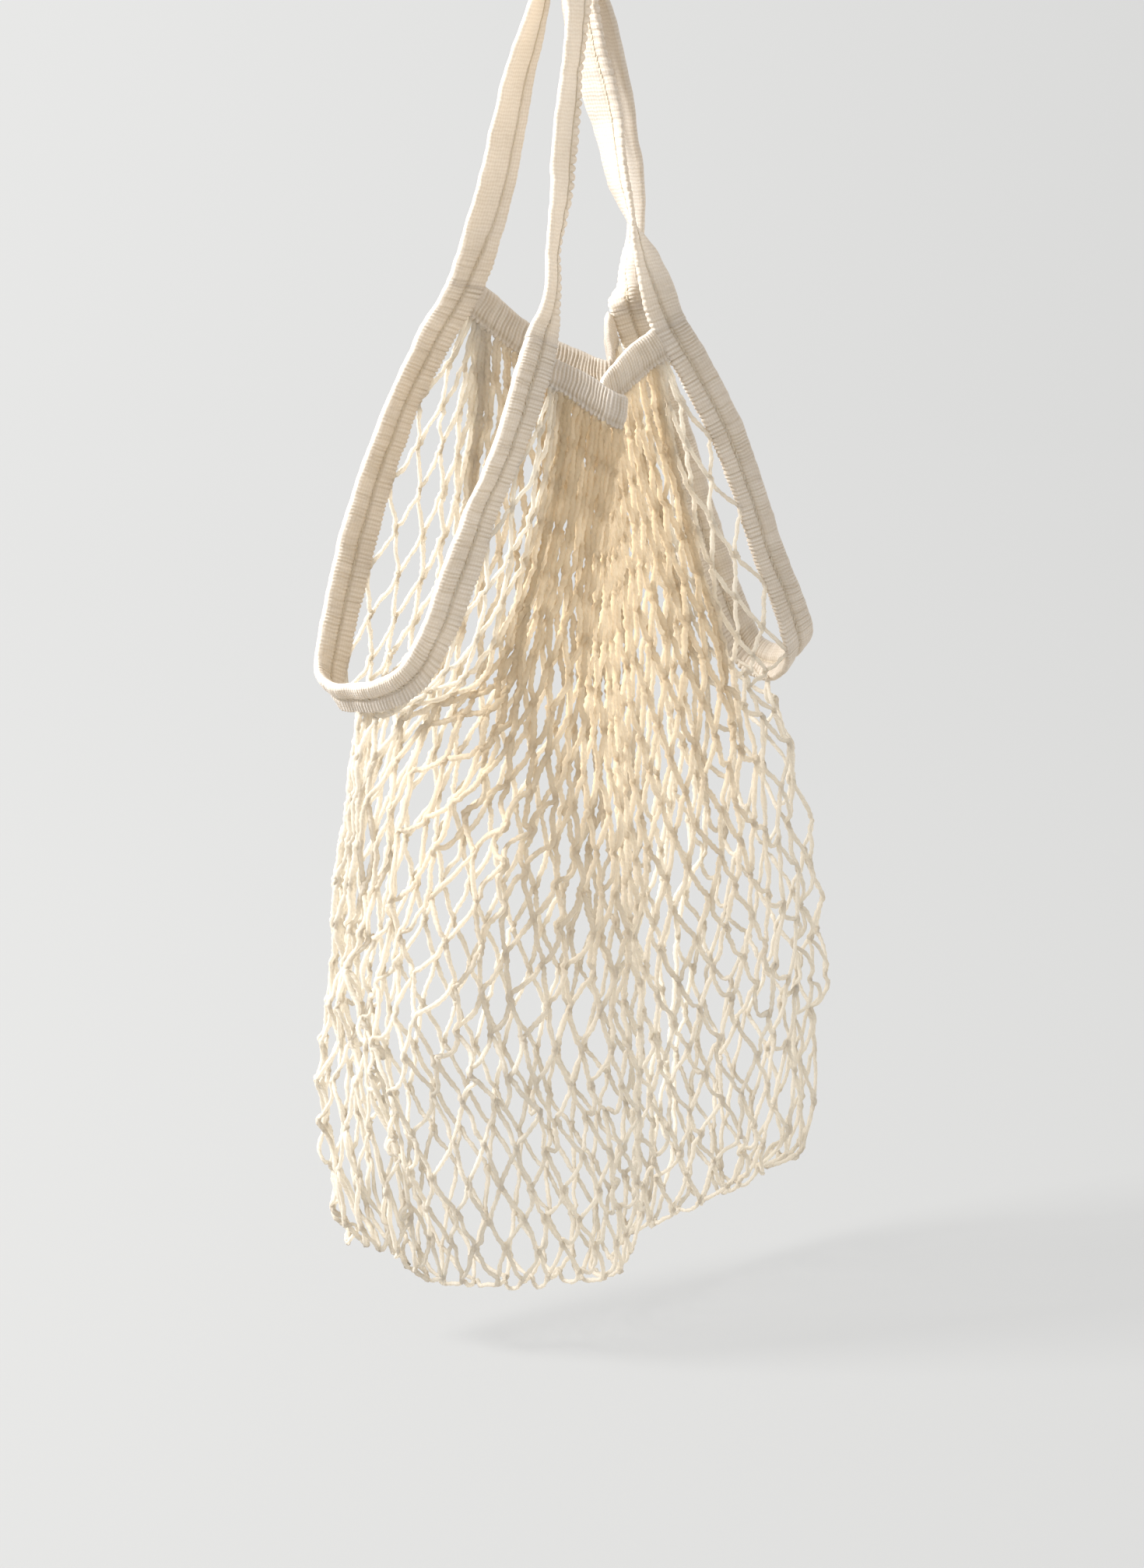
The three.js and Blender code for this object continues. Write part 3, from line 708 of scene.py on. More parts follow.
@dataclass
class TapePiece:
    """One sewn length of folded tape: a handle, a slit binding or a mouth band.

    Waves are pairs of a height, in millimetres or as a share, and the longest wavelength along the tape.
    Towards its ends a handle becomes like the bindings that it runs into, with weaker and closer loops.
    """

    name: str
    node: str
    run: TapeRun
    start: float
    stop: float
    kind: TapeKind
    seed: int
    looped: tuple[float, float] = (1.0, 1.0)
    blend: tuple[float, float] = (4.0, 38.0)
    end_loops: float = 0.45
    end_closer: float = 0.4
    end_round: float = 2.4
    end_least: float = 0.04
    pitch_waves: tuple[tuple[float, float], ...] = ((0.09, 31), (0.12, 9))
    swell_wave: tuple[float, float] = (0.06, 47)
    drift_wave: tuple[float, float] = (0.35, 38)
    cup_wave: tuple[float, float] = (0.4, 60)
    edge_wave: tuple[float, float] = (0.22, 23)
    cup_level: float = 0.4
    loop_range: tuple[float, float] = (0.7, 1.2)
    rib_range: tuple[float, float] = (0.4, 1.25)
    spare: int = 8
    around: tuple[float, ...] = (
        0, 0.012, 0.045, 0.1, 0.18, 0.27, 0.36, 0.43, 0.48, 0.52, 0.56, 0.62, 0.69, 0.75, 0.81, 0.87, 0.925,
        0.965, 0.99, 1)
    piece: bpy.types.Object | None = field(default=None, repr=False)

    def __post_init__(self) -> None:
        """Lays out the steps along the tape and draws the piece's own irregularities."""
        rng = np.random.default_rng(self.seed)
        relief = self.kind.value
        free = self.kind is TapeKind.HANDLE
        steps = int((self.stop - self.start) / relief.step)
        self.reach = np.linspace(self.start, self.stop, steps + 1)
        self.frames = self.run.frames(self.reach)
        ends = np.minimum(self.reach - self.start, self.stop - self.reach)
        self.freedom = ease(*self.blend, ends) if free else np.zeros_like(ends)
        self.plain = self.end_loops if free else 1.0
        self.seam = self.worn("seam_share")
        uneven = np.ones_like(ends)
        for height, wave in self.pitch_waves:
            uneven += height * wander(rng, self.reach, wave)
        self.ribs = np.cumsum(relief.step / (relief.rib_pitch * uneven))
        closer = self.end_closer if free else 0.0
        pitch = relief.loop_pitch * (1 - closer * (1 - self.freedom))
        self.loops = np.cumsum(relief.step / (pitch * uneven))
        self.swell, self.drift, self.cup, self.edge = (
            height * wander(rng, self.reach, wave)
            for height, wave in (self.swell_wave, self.drift_wave, self.cup_wave, self.edge_wave))
        self.swell += 1
        self.looping = np.interp(self.reach, [self.start, self.stop], self.looped)
        self.loop_shakes = rng.uniform(*self.loop_range, len(ends) + self.spare)
        self.rib_shakes = rng.uniform(*self.rib_range, len(ends) + self.spare)
        self.cap = np.ones_like(ends)
        if not free:
            self.cap = np.sqrt(1 - (1 - np.clip(ends / self.end_round, self.end_least, 1)) ** 2)

    def worn(self, name: str) -> np.ndarray:
        """A size of the relief at every step, which on a handle becomes that of a binding towards its ends.

        Args:
            name: the size's name.

        Returns:
            A column with a value for each step.
        """
        own = getattr(self.kind.value, name)
        end = getattr(TapeKind.BINDING.value, name) if self.kind is TapeKind.HANDLE else own
        return (end + (own - end) * self.freedom)[:, None]

    def section(self, share: np.ndarray) -> tuple[np.ndarray, np.ndarray, np.ndarray]:
        """Half the section at every step.

        Args:
            share: shares of the width from the fold to the hem, in one row or a row for each step.

        Returns:
            Distances from the tape's middle, half thicknesses and how much painted shade each point gets in
            the grooves, a row for each step.
        """
        relief = self.kind.value
        width = self.run.width
        reach = share * width
        seam, seam_depth = width * self.seam, self.worn("seam_depth")
        thick, fold_thick = self.worn("thick"), self.worn("fold_thick")
        full = fold_thick + (thick - fold_thick) * ease(relief.fold_start, seam, reach)
        full = full + self.worn("bulge") * np.sin(math.pi * np.clip(reach / seam, 0, 1))
        fold, hem = (
            np.sqrt(np.clip(1 - (1 - np.minimum(inside / bend, 1)) ** 2, 0, 1))
            for inside, bend in ((reach, relief.fold_round), (width - reach, relief.hem_round)))
        loop_lane = ease(seam + relief.loop_lane[0], seam + relief.loop_lane[1], reach)
        rib_lane = ease(*relief.rib_lane, reach) * (1 - loop_lane)
        each = self.loop_shakes[np.floor(self.loops).astype(int) % len(self.loop_shakes)]
        pillow = np.abs(np.sin(math.pi * self.loops)) ** relief.loop_round
        strength = (self.plain + (self.looping - self.plain) * self.freedom) * each
        rib_strength = self.worn("rib_depth") * self.rib_shakes[np.floor(self.ribs).astype(int)][:, None]
        sway = np.sin(reach * relief.rib_wave + self.drift[:, None] * relief.rib_drift)
        rib = np.cos(2 * math.pi * self.ribs[:, None] + relief.rib_bend * sway)
        dent = np.exp(-((reach - seam) / relief.seam_reach) ** 2)
        half = full / 2 * self.swell[:, None] - seam_depth * dent
        half = half + rib_lane * rib_strength * rib / 2
        half = half + loop_lane * ((pillow - relief.loop_level) * relief.loop_depth * strength)[:, None]
        half = np.maximum(half, relief.thinnest) * fold * hem * self.cap[:, None]
        tuck = ((1 - pillow) * relief.scallop * strength)[:, None]
        place = reach - width / 2 - tuck * ease(seam + relief.scallop_start, width, reach)
        place = place + self.edge[:, None] * (2 * share - 1)
        # Painted shade: how much darker each point is painted in the rib grooves, between the loops and along
        # the seam.
        painted_groove_shade = rib_lane * np.minimum(rib_strength, relief.rib_shade) * (1 - rib) / 2
        painted_groove_shade = painted_groove_shade + loop_lane * (strength * (1 - pillow))[:, None]
        painted_groove_shade = painted_groove_shade + relief.seam_shade * dent * np.minimum(seam_depth / relief.deep_seam, 1)
        return place, half, np.clip(painted_groove_shade, 0, 1)

    def build(self) -> None:
        """Drapes a grid round the section and along the run, and closes it."""
        share = np.array(self.around)
        place, half, painted_groove_shade = self.section(share[None])
        count = 2 * len(share) - 2
        ring = np.concatenate([np.arange(len(share)), np.arange(len(share) - 2, 0, -1), [0]])
        side = np.concatenate([np.ones(len(share)), -np.ones(len(share) - 1)])
        columns = len(self.reach) - 1
        self.piece, flat = grid_piece(self.name, columns, count)
        step = np.rint(flat[:, 0] * columns).astype(int)
        turn = np.rint(flat[:, 1] * count).astype(int)
        across = place[step, ring[turn]]
        rise = half[step, ring[turn]] * side[turn] + self.drift[step]
        rise += self.cup[step] * ((2 * across / self.run.width) ** 2 - self.cup_level)
        points = self.frames.middle[step] + self.frames.across[step] * across[:, None]
        points += self.frames.out[step] * rise[:, None]
        mesh = self.piece.data
        mesh.vertices.foreach_set("co", np.ravel(points * MM).astype(np.float32))
        # Stores the painted shade of the grooves for the tape's material.
        mark_points(self.piece, PAINTED_GROOVE_SHADE, painted_groove_shade[step, ring[turn]])
        corner = np.empty(len(mesh.loops), np.int32)
        mesh.loops.foreach_get("vertex_index", corner)
        lap = np.concatenate([share, 2 - share[::-1][1:]]) * self.run.width
        uv = np.stack([self.reach[step[corner]], lap[turn[corner]]], 1) * MM
        mesh.uv_layers.active.data.foreach_set("uv", np.ravel(uv).astype(np.float32))
        mesh.update()
        close_piece(self.piece, 0, True)
        bpy.ops.object.shade_smooth()

    def dress(self, finish: bpy.types.Material) -> None:
        """Gives the tape its material and its place on the bag."""
        place_piece(self.piece, finish, self.node)


@dataclass
class SeamStitches:
    """The row of stitches down the seam of a tape piece, on both of its faces."""

    tape: TapePiece
    pitch: float = 2.7
    length: float = 2.1
    wide: float = 0.62
    high: float = 0.5
    lift: float = 0.12
    ends: tuple[float, float] = (4.0, 2.0)
    uneven: float = 0.08
    lean: float = 0.12
    piece: bpy.types.Object | None = field(default=None, repr=False)

    def one_stitch(self) -> tuple[np.ndarray, np.ndarray]:
        """Models one stitch lying along X.

        Returns:
            Its points and its faces of four corners.
        """
        bpy.ops.object.select_all(action="DESELECT")
        bpy.ops.mesh.primitive_cube_add(size=1.0)
        stitch = bpy.context.object
        bpy.ops.object.mode_set(mode="EDIT")
        bpy.ops.mesh.select_all(action="SELECT")
        bpy.ops.mesh.subdivide(number_cuts=1, smoothness=1.0)
        bpy.ops.transform.resize(value=(self.length, self.wide, self.high))
        bpy.ops.object.mode_set(mode="OBJECT")
        points = np.array([vertex.co[:] for vertex in stitch.data.vertices])
        faces = np.array([face.vertices[:] for face in stitch.data.polygons])
        bpy.data.objects.remove(stitch)
        return points, faces

    def build(self) -> None:
        """Copies the stitch along the seam and joins the copies in one mesh."""
        points, faces = self.one_stitch()
        tape, frames = self.tape, self.tape.frames
        rng = np.random.default_rng(tape.seed + STITCH_SEED)
        count = int((tape.stop - tape.start - sum(self.ends)) / self.pitch)
        order = np.arange(count) + rng.normal(0, self.uneven, count)
        reach = tape.start + self.ends[0] + self.pitch * order
        step = np.clip(np.searchsorted(tape.reach, reach), 0, len(tape.reach) - 1)
        place, half, _ = tape.section(tape.seam)
        corners, rings = [], []
        for side in (1, -1):
            lean = rng.normal(0, self.lean, count)[:, None]
            along = frames.along[step] * np.cos(lean) + frames.across[step] * np.sin(lean)
            out = frames.out[step] * side
            rise = side * (half[step, 0] + self.lift) + tape.drift[step] - tape.cup_level * tape.cup[step]
            centre = frames.middle[step] + frames.across[step] * place[step]
            centre = centre + frames.out[step] * rise[:, None]
            basis = np.stack([along, np.cross(out, along), out], 1)
            made = centre[:, None] + np.einsum("pk,nkc->npc", points, basis)
            first = (len(corners) * count + np.arange(count)) * len(points)
            corners.append(made.reshape(-1, 3))
            rings.append((first[:, None, None] + faces[None]).reshape(-1, 4))
        quads = np.concatenate(rings)
        name = f"{tape.name}_stitches"
        self.piece = mesh_object(name, np.concatenate(corners), quads, np.zeros((quads.size, 2)))

    def dress(self, finish: bpy.types.Material) -> None:
        """Gives the stitches their material and their place on the bag."""
        place_piece(self.piece, finish)


class Panel(Enum):
    """The two halves of the net."""

    FRONT = "front"
    BACK = "back"


@dataclass(frozen=True)
class PanelShape:
    """How one half of the net hangs.

    It has its band and the shares of it at the edges and folds, its folds, the start and turn of both slits
    along the tape, the columns at the edges and folds (at the mouth, half way down and low down), and the
    columns between which the rows step from the edges' levels to the folds'.
    """

    band: TapeRun
    reversed: bool
    mouth: tuple[float, ...]
    folds: np.ndarray
    left: tuple[float, float]
    right: tuple[float, float]
    columns: tuple[tuple[float, ...], ...]
    left_shear: tuple[float, float]
    right_shear: tuple[float, float]


@dataclass
class NetLattice:
    """The knotted net at rest: joints in staggered rows, and yarns that zigzag down between them.

    Fields that end in rows give the rows of joints, counted from the mouth, between which something changes.
    """

    columns: int = 48
    rows: int = 23
    slit_rows: int = 10
    bar: float = 21.2
    taut: float = 20.7
    tuck: float = -1.3
    past_band: float = 3.0
    gather: float = 1.4
    bunch: float = 0.4
    mid_rows: tuple[float, float] = (4, 16)
    low_rows: tuple[float, float] = (14, 22)
    shear_rows: tuple[float, float] = (6, 11)
    left_rows: tuple[float, float] = (4, 11)
    right_rows: tuple[float, float] = (5, 17)
    bunch_rows: tuple[float, float, float, float] = (8, 12, 15, 20)
    slack: float = 4.0
    slack_rows: tuple[float, float] = (5, 14)
    slack_shares: tuple[float, float] = (0.55, 0.2)
    uneven: float = 1.9
    uneven_bar: float = 0.02
    uneven_rows: tuple[float, float] = (3, 12)
    segments: int = 4
    jitter: float = 0.5
    fold_columns: tuple[float, ...] = (0, 0.3, 0.5, 0.6, 0.8, 1)
    sways: tuple[tuple[float, float], ...] = ((150, 2.5), (85, 2.5), (60, 2.0), (45, 1.5))
    top_sway: float = 0.35
    sway_heights: tuple[float, float] = (-280, -480)
    slack_spots: tuple[tuple[tuple[float, float, float], float, float], ...] = (
        ((-92, -66, -450), 44, 5), ((-110, -60, -560), 40, 6), ((-134, -16, -590), 34, 4),
        ((150, 8, -470), 44, 5), ((146, 4, -560), 40, 5))
    loops: float = 0.2
    loop_range: tuple[float, float] = (0.2, 1)
    settle: tuple[float, ...] = (2, 5, 9)
    settle_out: float = 0.55
    steady: float = 0.6
    weight: float = 0.03
    kept_speed: float = 0.9
    homing: float = 0.05
    stiffness: float = 0.15
    mending: float = 1.3

    def __post_init__(self) -> None:
        """Lays out both panels."""
        self.rng = np.random.default_rng(SEED)
        front_left, front_right = FRONT_RUN.hem.points[0], FRONT_RUN.hem.points[-1]
        back_right, back_left = BACK_RUN.hem.points[0], BACK_RUN.hem.points[-1]
        self.shapes = {
            Panel.FRONT: PanelShape(
                FRONT_RUN, False, (0, 0.1, 0.37, 0.6, 0.9, 1), FRONT_FOLDS,
                (self.slit_start(front_left, FRONT_LEFT, LEFT_TURN), LEFT_TURN),
                (self.slit_start(front_right, FRONT_RIGHT, RIGHT_TURN), RIGHT_TURN),
                ((0, 9, 21, 31, 41, 48), (0, 14, 27, 32, 40, 48), (0, 12, 26, 31, 39, 48)),
                (6, 11), (41, 45)),
            Panel.BACK: PanelShape(
                BACK_RUN, True, (0, 0.1, 0.42, 0.65, 0.9, 1), BACK_FOLDS,
                (self.slit_start(back_left, BACK_LEFT, LEFT_TURN), LEFT_TURN),
                (self.slit_start(back_right, BACK_RIGHT, RIGHT_TURN), RIGHT_TURN),
                ((0, 11, 23, 32, 41, 48), (0, 16, 26, 31, 40, 48), (0, 13, 24, 29, 39, 48)),
                (5, 12), (40, 45)),
        }

    def slit_start(self, band_end: np.ndarray, corner: float, turn: float) -> float:
        """Where the net starts on a slit binding, just past the end of a mouth band.

        Args:
            band_end: the end of the band's hem.
            corner: the distance along the tape at the mouth corner.
            turn: the distance along the tape at the end of the slit.

        Returns:
            The distance along the tape.
        """
        way = np.sign(turn - corner)
        reach = corner + way * np.arange(0.01, abs(turn - corner))
        space = np.linalg.norm(TAPE.frames(reach).hem - band_end, axis=1)
        return float(reach[np.argmin(space)] + way * self.past_band)

    def hem_points(self, run: TapeRun, reach: np.ndarray) -> np.ndarray:
        """Points just inside the hem of a tape, where the yarn is sewn in."""
        frames = run.frames(np.atleast_1d(reach))
        return frames.hem + frames.across * self.tuck

    def edge(self, ends: tuple[float, float], side: np.ndarray, level: np.ndarray) -> np.ndarray:
        """The net's edge down a slit and then the side line below it.

        Args:
            ends: the slit's start and turn as distances along the tape.
            side: the points of the side line.
            level: levels down the net.

        Returns:
            Points at those levels.
        """
        start, turn = ends
        slit = self.hem_points(TAPE, start + (turn - start) * np.minimum(level, SLIT_LEVEL) / SLIT_LEVEL)
        line = SmoothLine(np.vstack([self.hem_points(TAPE, turn), side]))
        below = line.at(shares(SIDE_LEVELS, np.maximum(level, SLIT_LEVEL)))
        return np.where((level > SLIT_LEVEL)[:, None], below, slit)

    def mouth_points(self, shape: PanelShape, place: np.ndarray) -> np.ndarray:
        """Points along a mouth band for shares of the net's width."""
        share = np.interp(place, self.fold_columns, shape.mouth)
        return self.hem_points(shape.band, ((1 - share) if shape.reversed else share) * shape.band.length)

    def fold_lines(self, shape: PanelShape) -> list[SmoothLine]:
        """The four folds of a panel, from the band to the bottom."""
        tops = self.mouth_points(shape, np.array(self.fold_columns[1:-1]))
        return [SmoothLine(np.vstack([tops[i], shape.folds[i], BOTTOM_FOLD[i]])) for i in range(len(tops))]

    def levels(self, shape: PanelShape) -> np.ndarray:
        """The level of every row of joints at both edges and at each fold.

        Args:
            shape: the panel's shape.

        Returns:
            A table with a row of joints to each row.
        """
        row = np.arange(self.rows + 1)
        fine = np.linspace(0, LOW_LEVEL, 561)
        low = np.linspace(SLIT_LEVEL, LOW_LEVEL, 401)
        above = SLIT_LEVEL * np.arange(self.slit_rows) / self.slit_rows
        edges, folds = [], []
        for ends, side in ((shape.left, LEFT_SIDE), (shape.right, RIGHT_SIDE)):
            reach = distances(self.edge(ends, side, low))
            below = np.interp(np.linspace(0, reach[-1], self.rows - self.slit_rows + 1), reach, low)
            edges.append(np.concatenate([above, below]))
        for line in self.fold_lines(shape):
            reach = distances(line.at(shares(FOLD_LEVELS, fine)))
            top = max(self.taut, reach[-1] / self.rows)
            slack = top * self.rows - reach[-1]
            folds.append(np.interp(top * row - slack * (row / self.rows) ** 3, reach, fine))
        return np.stack([edges[0], *folds, edges[1]], 1)

    def surface(self, shape: PanelShape, place: np.ndarray, level: np.ndarray) -> np.ndarray:
        """Points of a panel.

        Args:
            shape: the panel's shape.
            place: shares of the way across its edges and folds.
            level: levels down it.

        Returns:
            A point for each place and level.
        """
        drop = shares(FOLD_LEVELS, level)
        lines = [line.at(drop) for line in self.fold_lines(shape)]
        edges = [self.edge(shape.left, LEFT_SIDE, level), self.edge(shape.right, RIGHT_SIDE, level)]
        return SmoothLine(np.stack([edges[0], *lines, edges[1]], 1)).at(place)

    def joints(self, shape: PanelShape) -> np.ndarray:
        """The joints of a panel as it hangs.

        Args:
            shape: the panel's shape.

        Returns:
            A point for each column and row.
        """
        levels = self.levels(shape)
        column, rows = np.arange(self.columns + 1.0), np.arange(self.rows + 1.0)
        top, mid, low = (np.array(stops, float) for stops in shape.columns)
        spans = len(top) - 1
        to_mid, to_low, late = (ease(*span, rows) for span in (self.mid_rows, self.low_rows, self.shear_rows))
        bunch = self.bunch * ease(*self.bunch_rows[:2], rows) * (1 - ease(*self.bunch_rows[2:], rows))
        left_gather = 1 + self.gather * (1 - ease(*self.left_rows, rows)) - bunch
        right_gather = 1 + self.gather * (1 - ease(*self.right_rows, rows))
        result = np.zeros((self.columns + 1, self.rows + 1, 3))
        for row in range(self.rows + 1):
            stops = top + (mid - top) * to_mid[row] + (low - mid) * to_low[row]
            inner = np.interp(column, stops[1:-1], levels[row, 1:-1])
            part = shares(stops, column)
            first, last = np.clip(part * spans, 0, 1), np.clip((1 - part) * spans, 0, 1)
            even_left, even_right = 1 - (1 - first) ** left_gather[row], (1 - last) ** right_gather[row]
            left = even_left + (ease(*shape.left_shear, column) - even_left) * late[row]
            right = even_right + (ease(*shape.right_shear, column) - even_right) * late[row]
            level = levels[row, 0] * (1 - left) + inner * left
            level = np.where(column > self.columns / 2, inner * (1 - right) + levels[row, -1] * right, level)
            part = part + (even_left - first) / spans - (1 - even_right - last) / spans
            result[:, row] = self.surface(shape, part, level)
        result[:, 0] = self.mouth_points(shape, np.interp(column, top, self.fold_columns))
        outward = self.settle_out if shape.reversed else -self.settle_out
        for row, drop in enumerate(self.settle, self.rows - len(self.settle)):
            result[:, row] += np.array([0, outward * drop, -drop])
        return result

    def steady_sides(self, home: dict[Panel, np.ndarray]) -> None:
        """Draws the joints of both side lines in, towards the mean of their neighbours in both panels.

        Args:
            home: the joints of each panel. Those of the side lines are kept with the front.
        """
        front = home[Panel.FRONT]
        for side, inner in ((0, 1), (self.columns, self.columns - 1)):
            for row in range(self.slit_rows + 1, self.rows):
                near = [home[panel][inner, level] for panel in Panel for level in (row - 1, row + 1)]
                front[side, row] += self.steady * (np.mean(near, 0) - front[side, row])

    def weave(self) -> None:
        """Numbers the joints and lists the bars of yarn between them."""
        home = {panel: self.joints(shape) for panel, shape in self.shapes.items()}
        self.steady_sides(home)
        known: dict[tuple[Panel, int, int], int] = {}
        points, held, bars = [], [], []
        for panel in Panel:
            for wale in range(self.columns):
                for row in range(self.rows):
                    upper = wale + (wale + row) % 2
                    lower = wale + (wale + row + 1) % 2
                    pair = []
                    for column, level in ((upper, row), (lower, row + 1)):
                        side = column in (0, self.columns)
                        shared = level == self.rows or (side and level >= self.slit_rows)
                        key = (Panel.FRONT if shared else panel, column, level)
                        if key not in known:
                            known[key] = len(points)
                            points.append(home[key[0]][column, level])
                            held.append(level == 0 or (side and level <= self.slit_rows))
                        pair.append(known[key])
                    bars.append(pair)
        self.target = np.array(points)
        self.held = np.array(held)
        self.bars = np.array(bars)

    def own_lengths(self, ends: np.ndarray, span: np.ndarray) -> np.ndarray:
        """The yarn's own length in every bar, with some to spare low down and at the slack spots.

        Args:
            ends: both ends of each bar.
            span: the distance between them.

        Returns:
            A length for each bar.
        """
        row = np.tile(np.arange(self.rows, dtype=float), len(Panel) * self.columns)
        loose = np.where(span < self.bar, *self.slack_shares) * ease(*self.slack_rows, row)
        own = span + np.minimum((self.bar - span) * loose, self.slack)
        own = own * (1 + self.rng.normal(0, self.uneven_bar, len(own)) * ease(*self.uneven_rows, row))
        for place, reach, _ in self.slack_spots:
            near = np.linalg.norm(ends.mean(1) - np.array(place), axis=1) / reach
            own = own * (1 + self.loops * np.exp(-near ** 2) * self.rng.uniform(*self.loop_range, len(own)))
        return own

    def slack_yarn(self) -> tuple[np.ndarray, np.ndarray]:
        """The yarn between the joints before it settles, bowed down where it has length to spare.

        Returns:
            The inner points of each bar, and each bar's own length.
        """
        ends = self.target[self.bars]
        parts = np.arange(1, self.segments) / self.segments
        inner = ends[:, :1] + (ends[:, 1:] - ends[:, :1]) * parts[None, :, None]
        inner = inner + self.rng.normal(0, self.jitter, inner.shape)
        span = np.linalg.norm(ends[:, 1] - ends[:, 0], axis=1)
        own = self.own_lengths(ends, span)
        way = unit(ends[:, 1] - ends[:, 0])
        below = unit(np.array([0, 0, -1]) + way * way[:, 2:])
        # The sag of a shallow arc: its square is three eighths of the span times the spare length.
        sag = np.sqrt(0.375 * span * np.maximum(own - span, 0))
        bow = sag[:, None] * 4 * parts * (1 - parts)
        return inner + below[:, None] * bow[..., None], own

    def homes(self) -> np.ndarray:
        """Where each joint is drawn to: its place in the folds with some sway, lifted at the slack spots.

        Returns:
            A point for each joint.
        """
        drop = self.top_sway + (1 - self.top_sway) * ease(*self.sway_heights, self.target[:, 2:])
        aim = self.target + self.rng.normal(0, self.uneven, self.target.shape) * drop
        for wave, reach in self.sways:
            way, push = unit(self.rng.normal(0, 1, (2, 3)))
            phase = self.target @ way * 2 * math.pi / wave + self.rng.uniform(0, 6)
            aim += np.sin(phase)[:, None] * push * reach * drop
        for place, reach, lift in self.slack_spots:
            near = np.linalg.norm(self.target - np.array(place), axis=1) / reach
            aim[:, 2] += lift * np.exp(-near ** 2)
        return aim

    def hang(self, steps: int = 200, rounds: int = 6) -> None:
        """Lets the yarn settle under its own weight, each bar keeping its length.

        Args:
            steps: how many steps are taken.
            rounds: how often lengths are mended in each step.
        """
        inner, own = self.slack_yarn()
        aim = self.homes()
        count = len(self.target)
        spots = np.vstack([self.target, inner.reshape(-1, 3)])
        total = len(spots)
        numbers = np.arange(count, total).reshape(len(self.bars), -1)
        chain = np.concatenate([self.bars[:, :1], numbers, self.bars[:, 1:]], 1)
        first, second = chain[:, :-1].ravel(), chain[:, 1:].ravel()
        free = np.ones(total)
        free[:count][self.held] = 0
        rest = np.repeat(own, self.segments) / self.segments
        shared = np.bincount(first, minlength=total) + np.bincount(second, minlength=total)
        give = np.maximum(free[first] + free[second], TINY)
        last = spots.copy()
        for _ in range(steps):
            speed = (spots - last) * self.kept_speed
            last = spots.copy()
            spots = spots + speed * free[:, None]
            spots[:, 2] -= self.weight * free
            spots[:count] += (aim - spots[:count]) * self.homing * free[:count, None]
            for part in range(1, self.segments):
                mean = (spots[chain[:, part - 1]] + spots[chain[:, part + 1]]) / 2
                spots[chain[:, part]] += self.stiffness * (mean - spots[chain[:, part]])
            for _ in range(rounds):
                gap = spots[second] - spots[first]
                long = np.maximum(np.linalg.norm(gap, axis=1), TINY)
                pull = ((long - rest) / long / give)[:, None] * gap
                move = np.zeros_like(spots)
                for axis in range(3):
                    move[:, axis] += np.bincount(first, pull[:, axis] * free[first], minlength=total)
                    move[:, axis] -= np.bincount(second, pull[:, axis] * free[second], minlength=total)
                spots += self.mending * move / np.maximum(shared, 1)[:, None]
        self.spots = spots
        self.chain = chain.reshape(len(Panel), self.columns, self.rows, self.segments + 1)


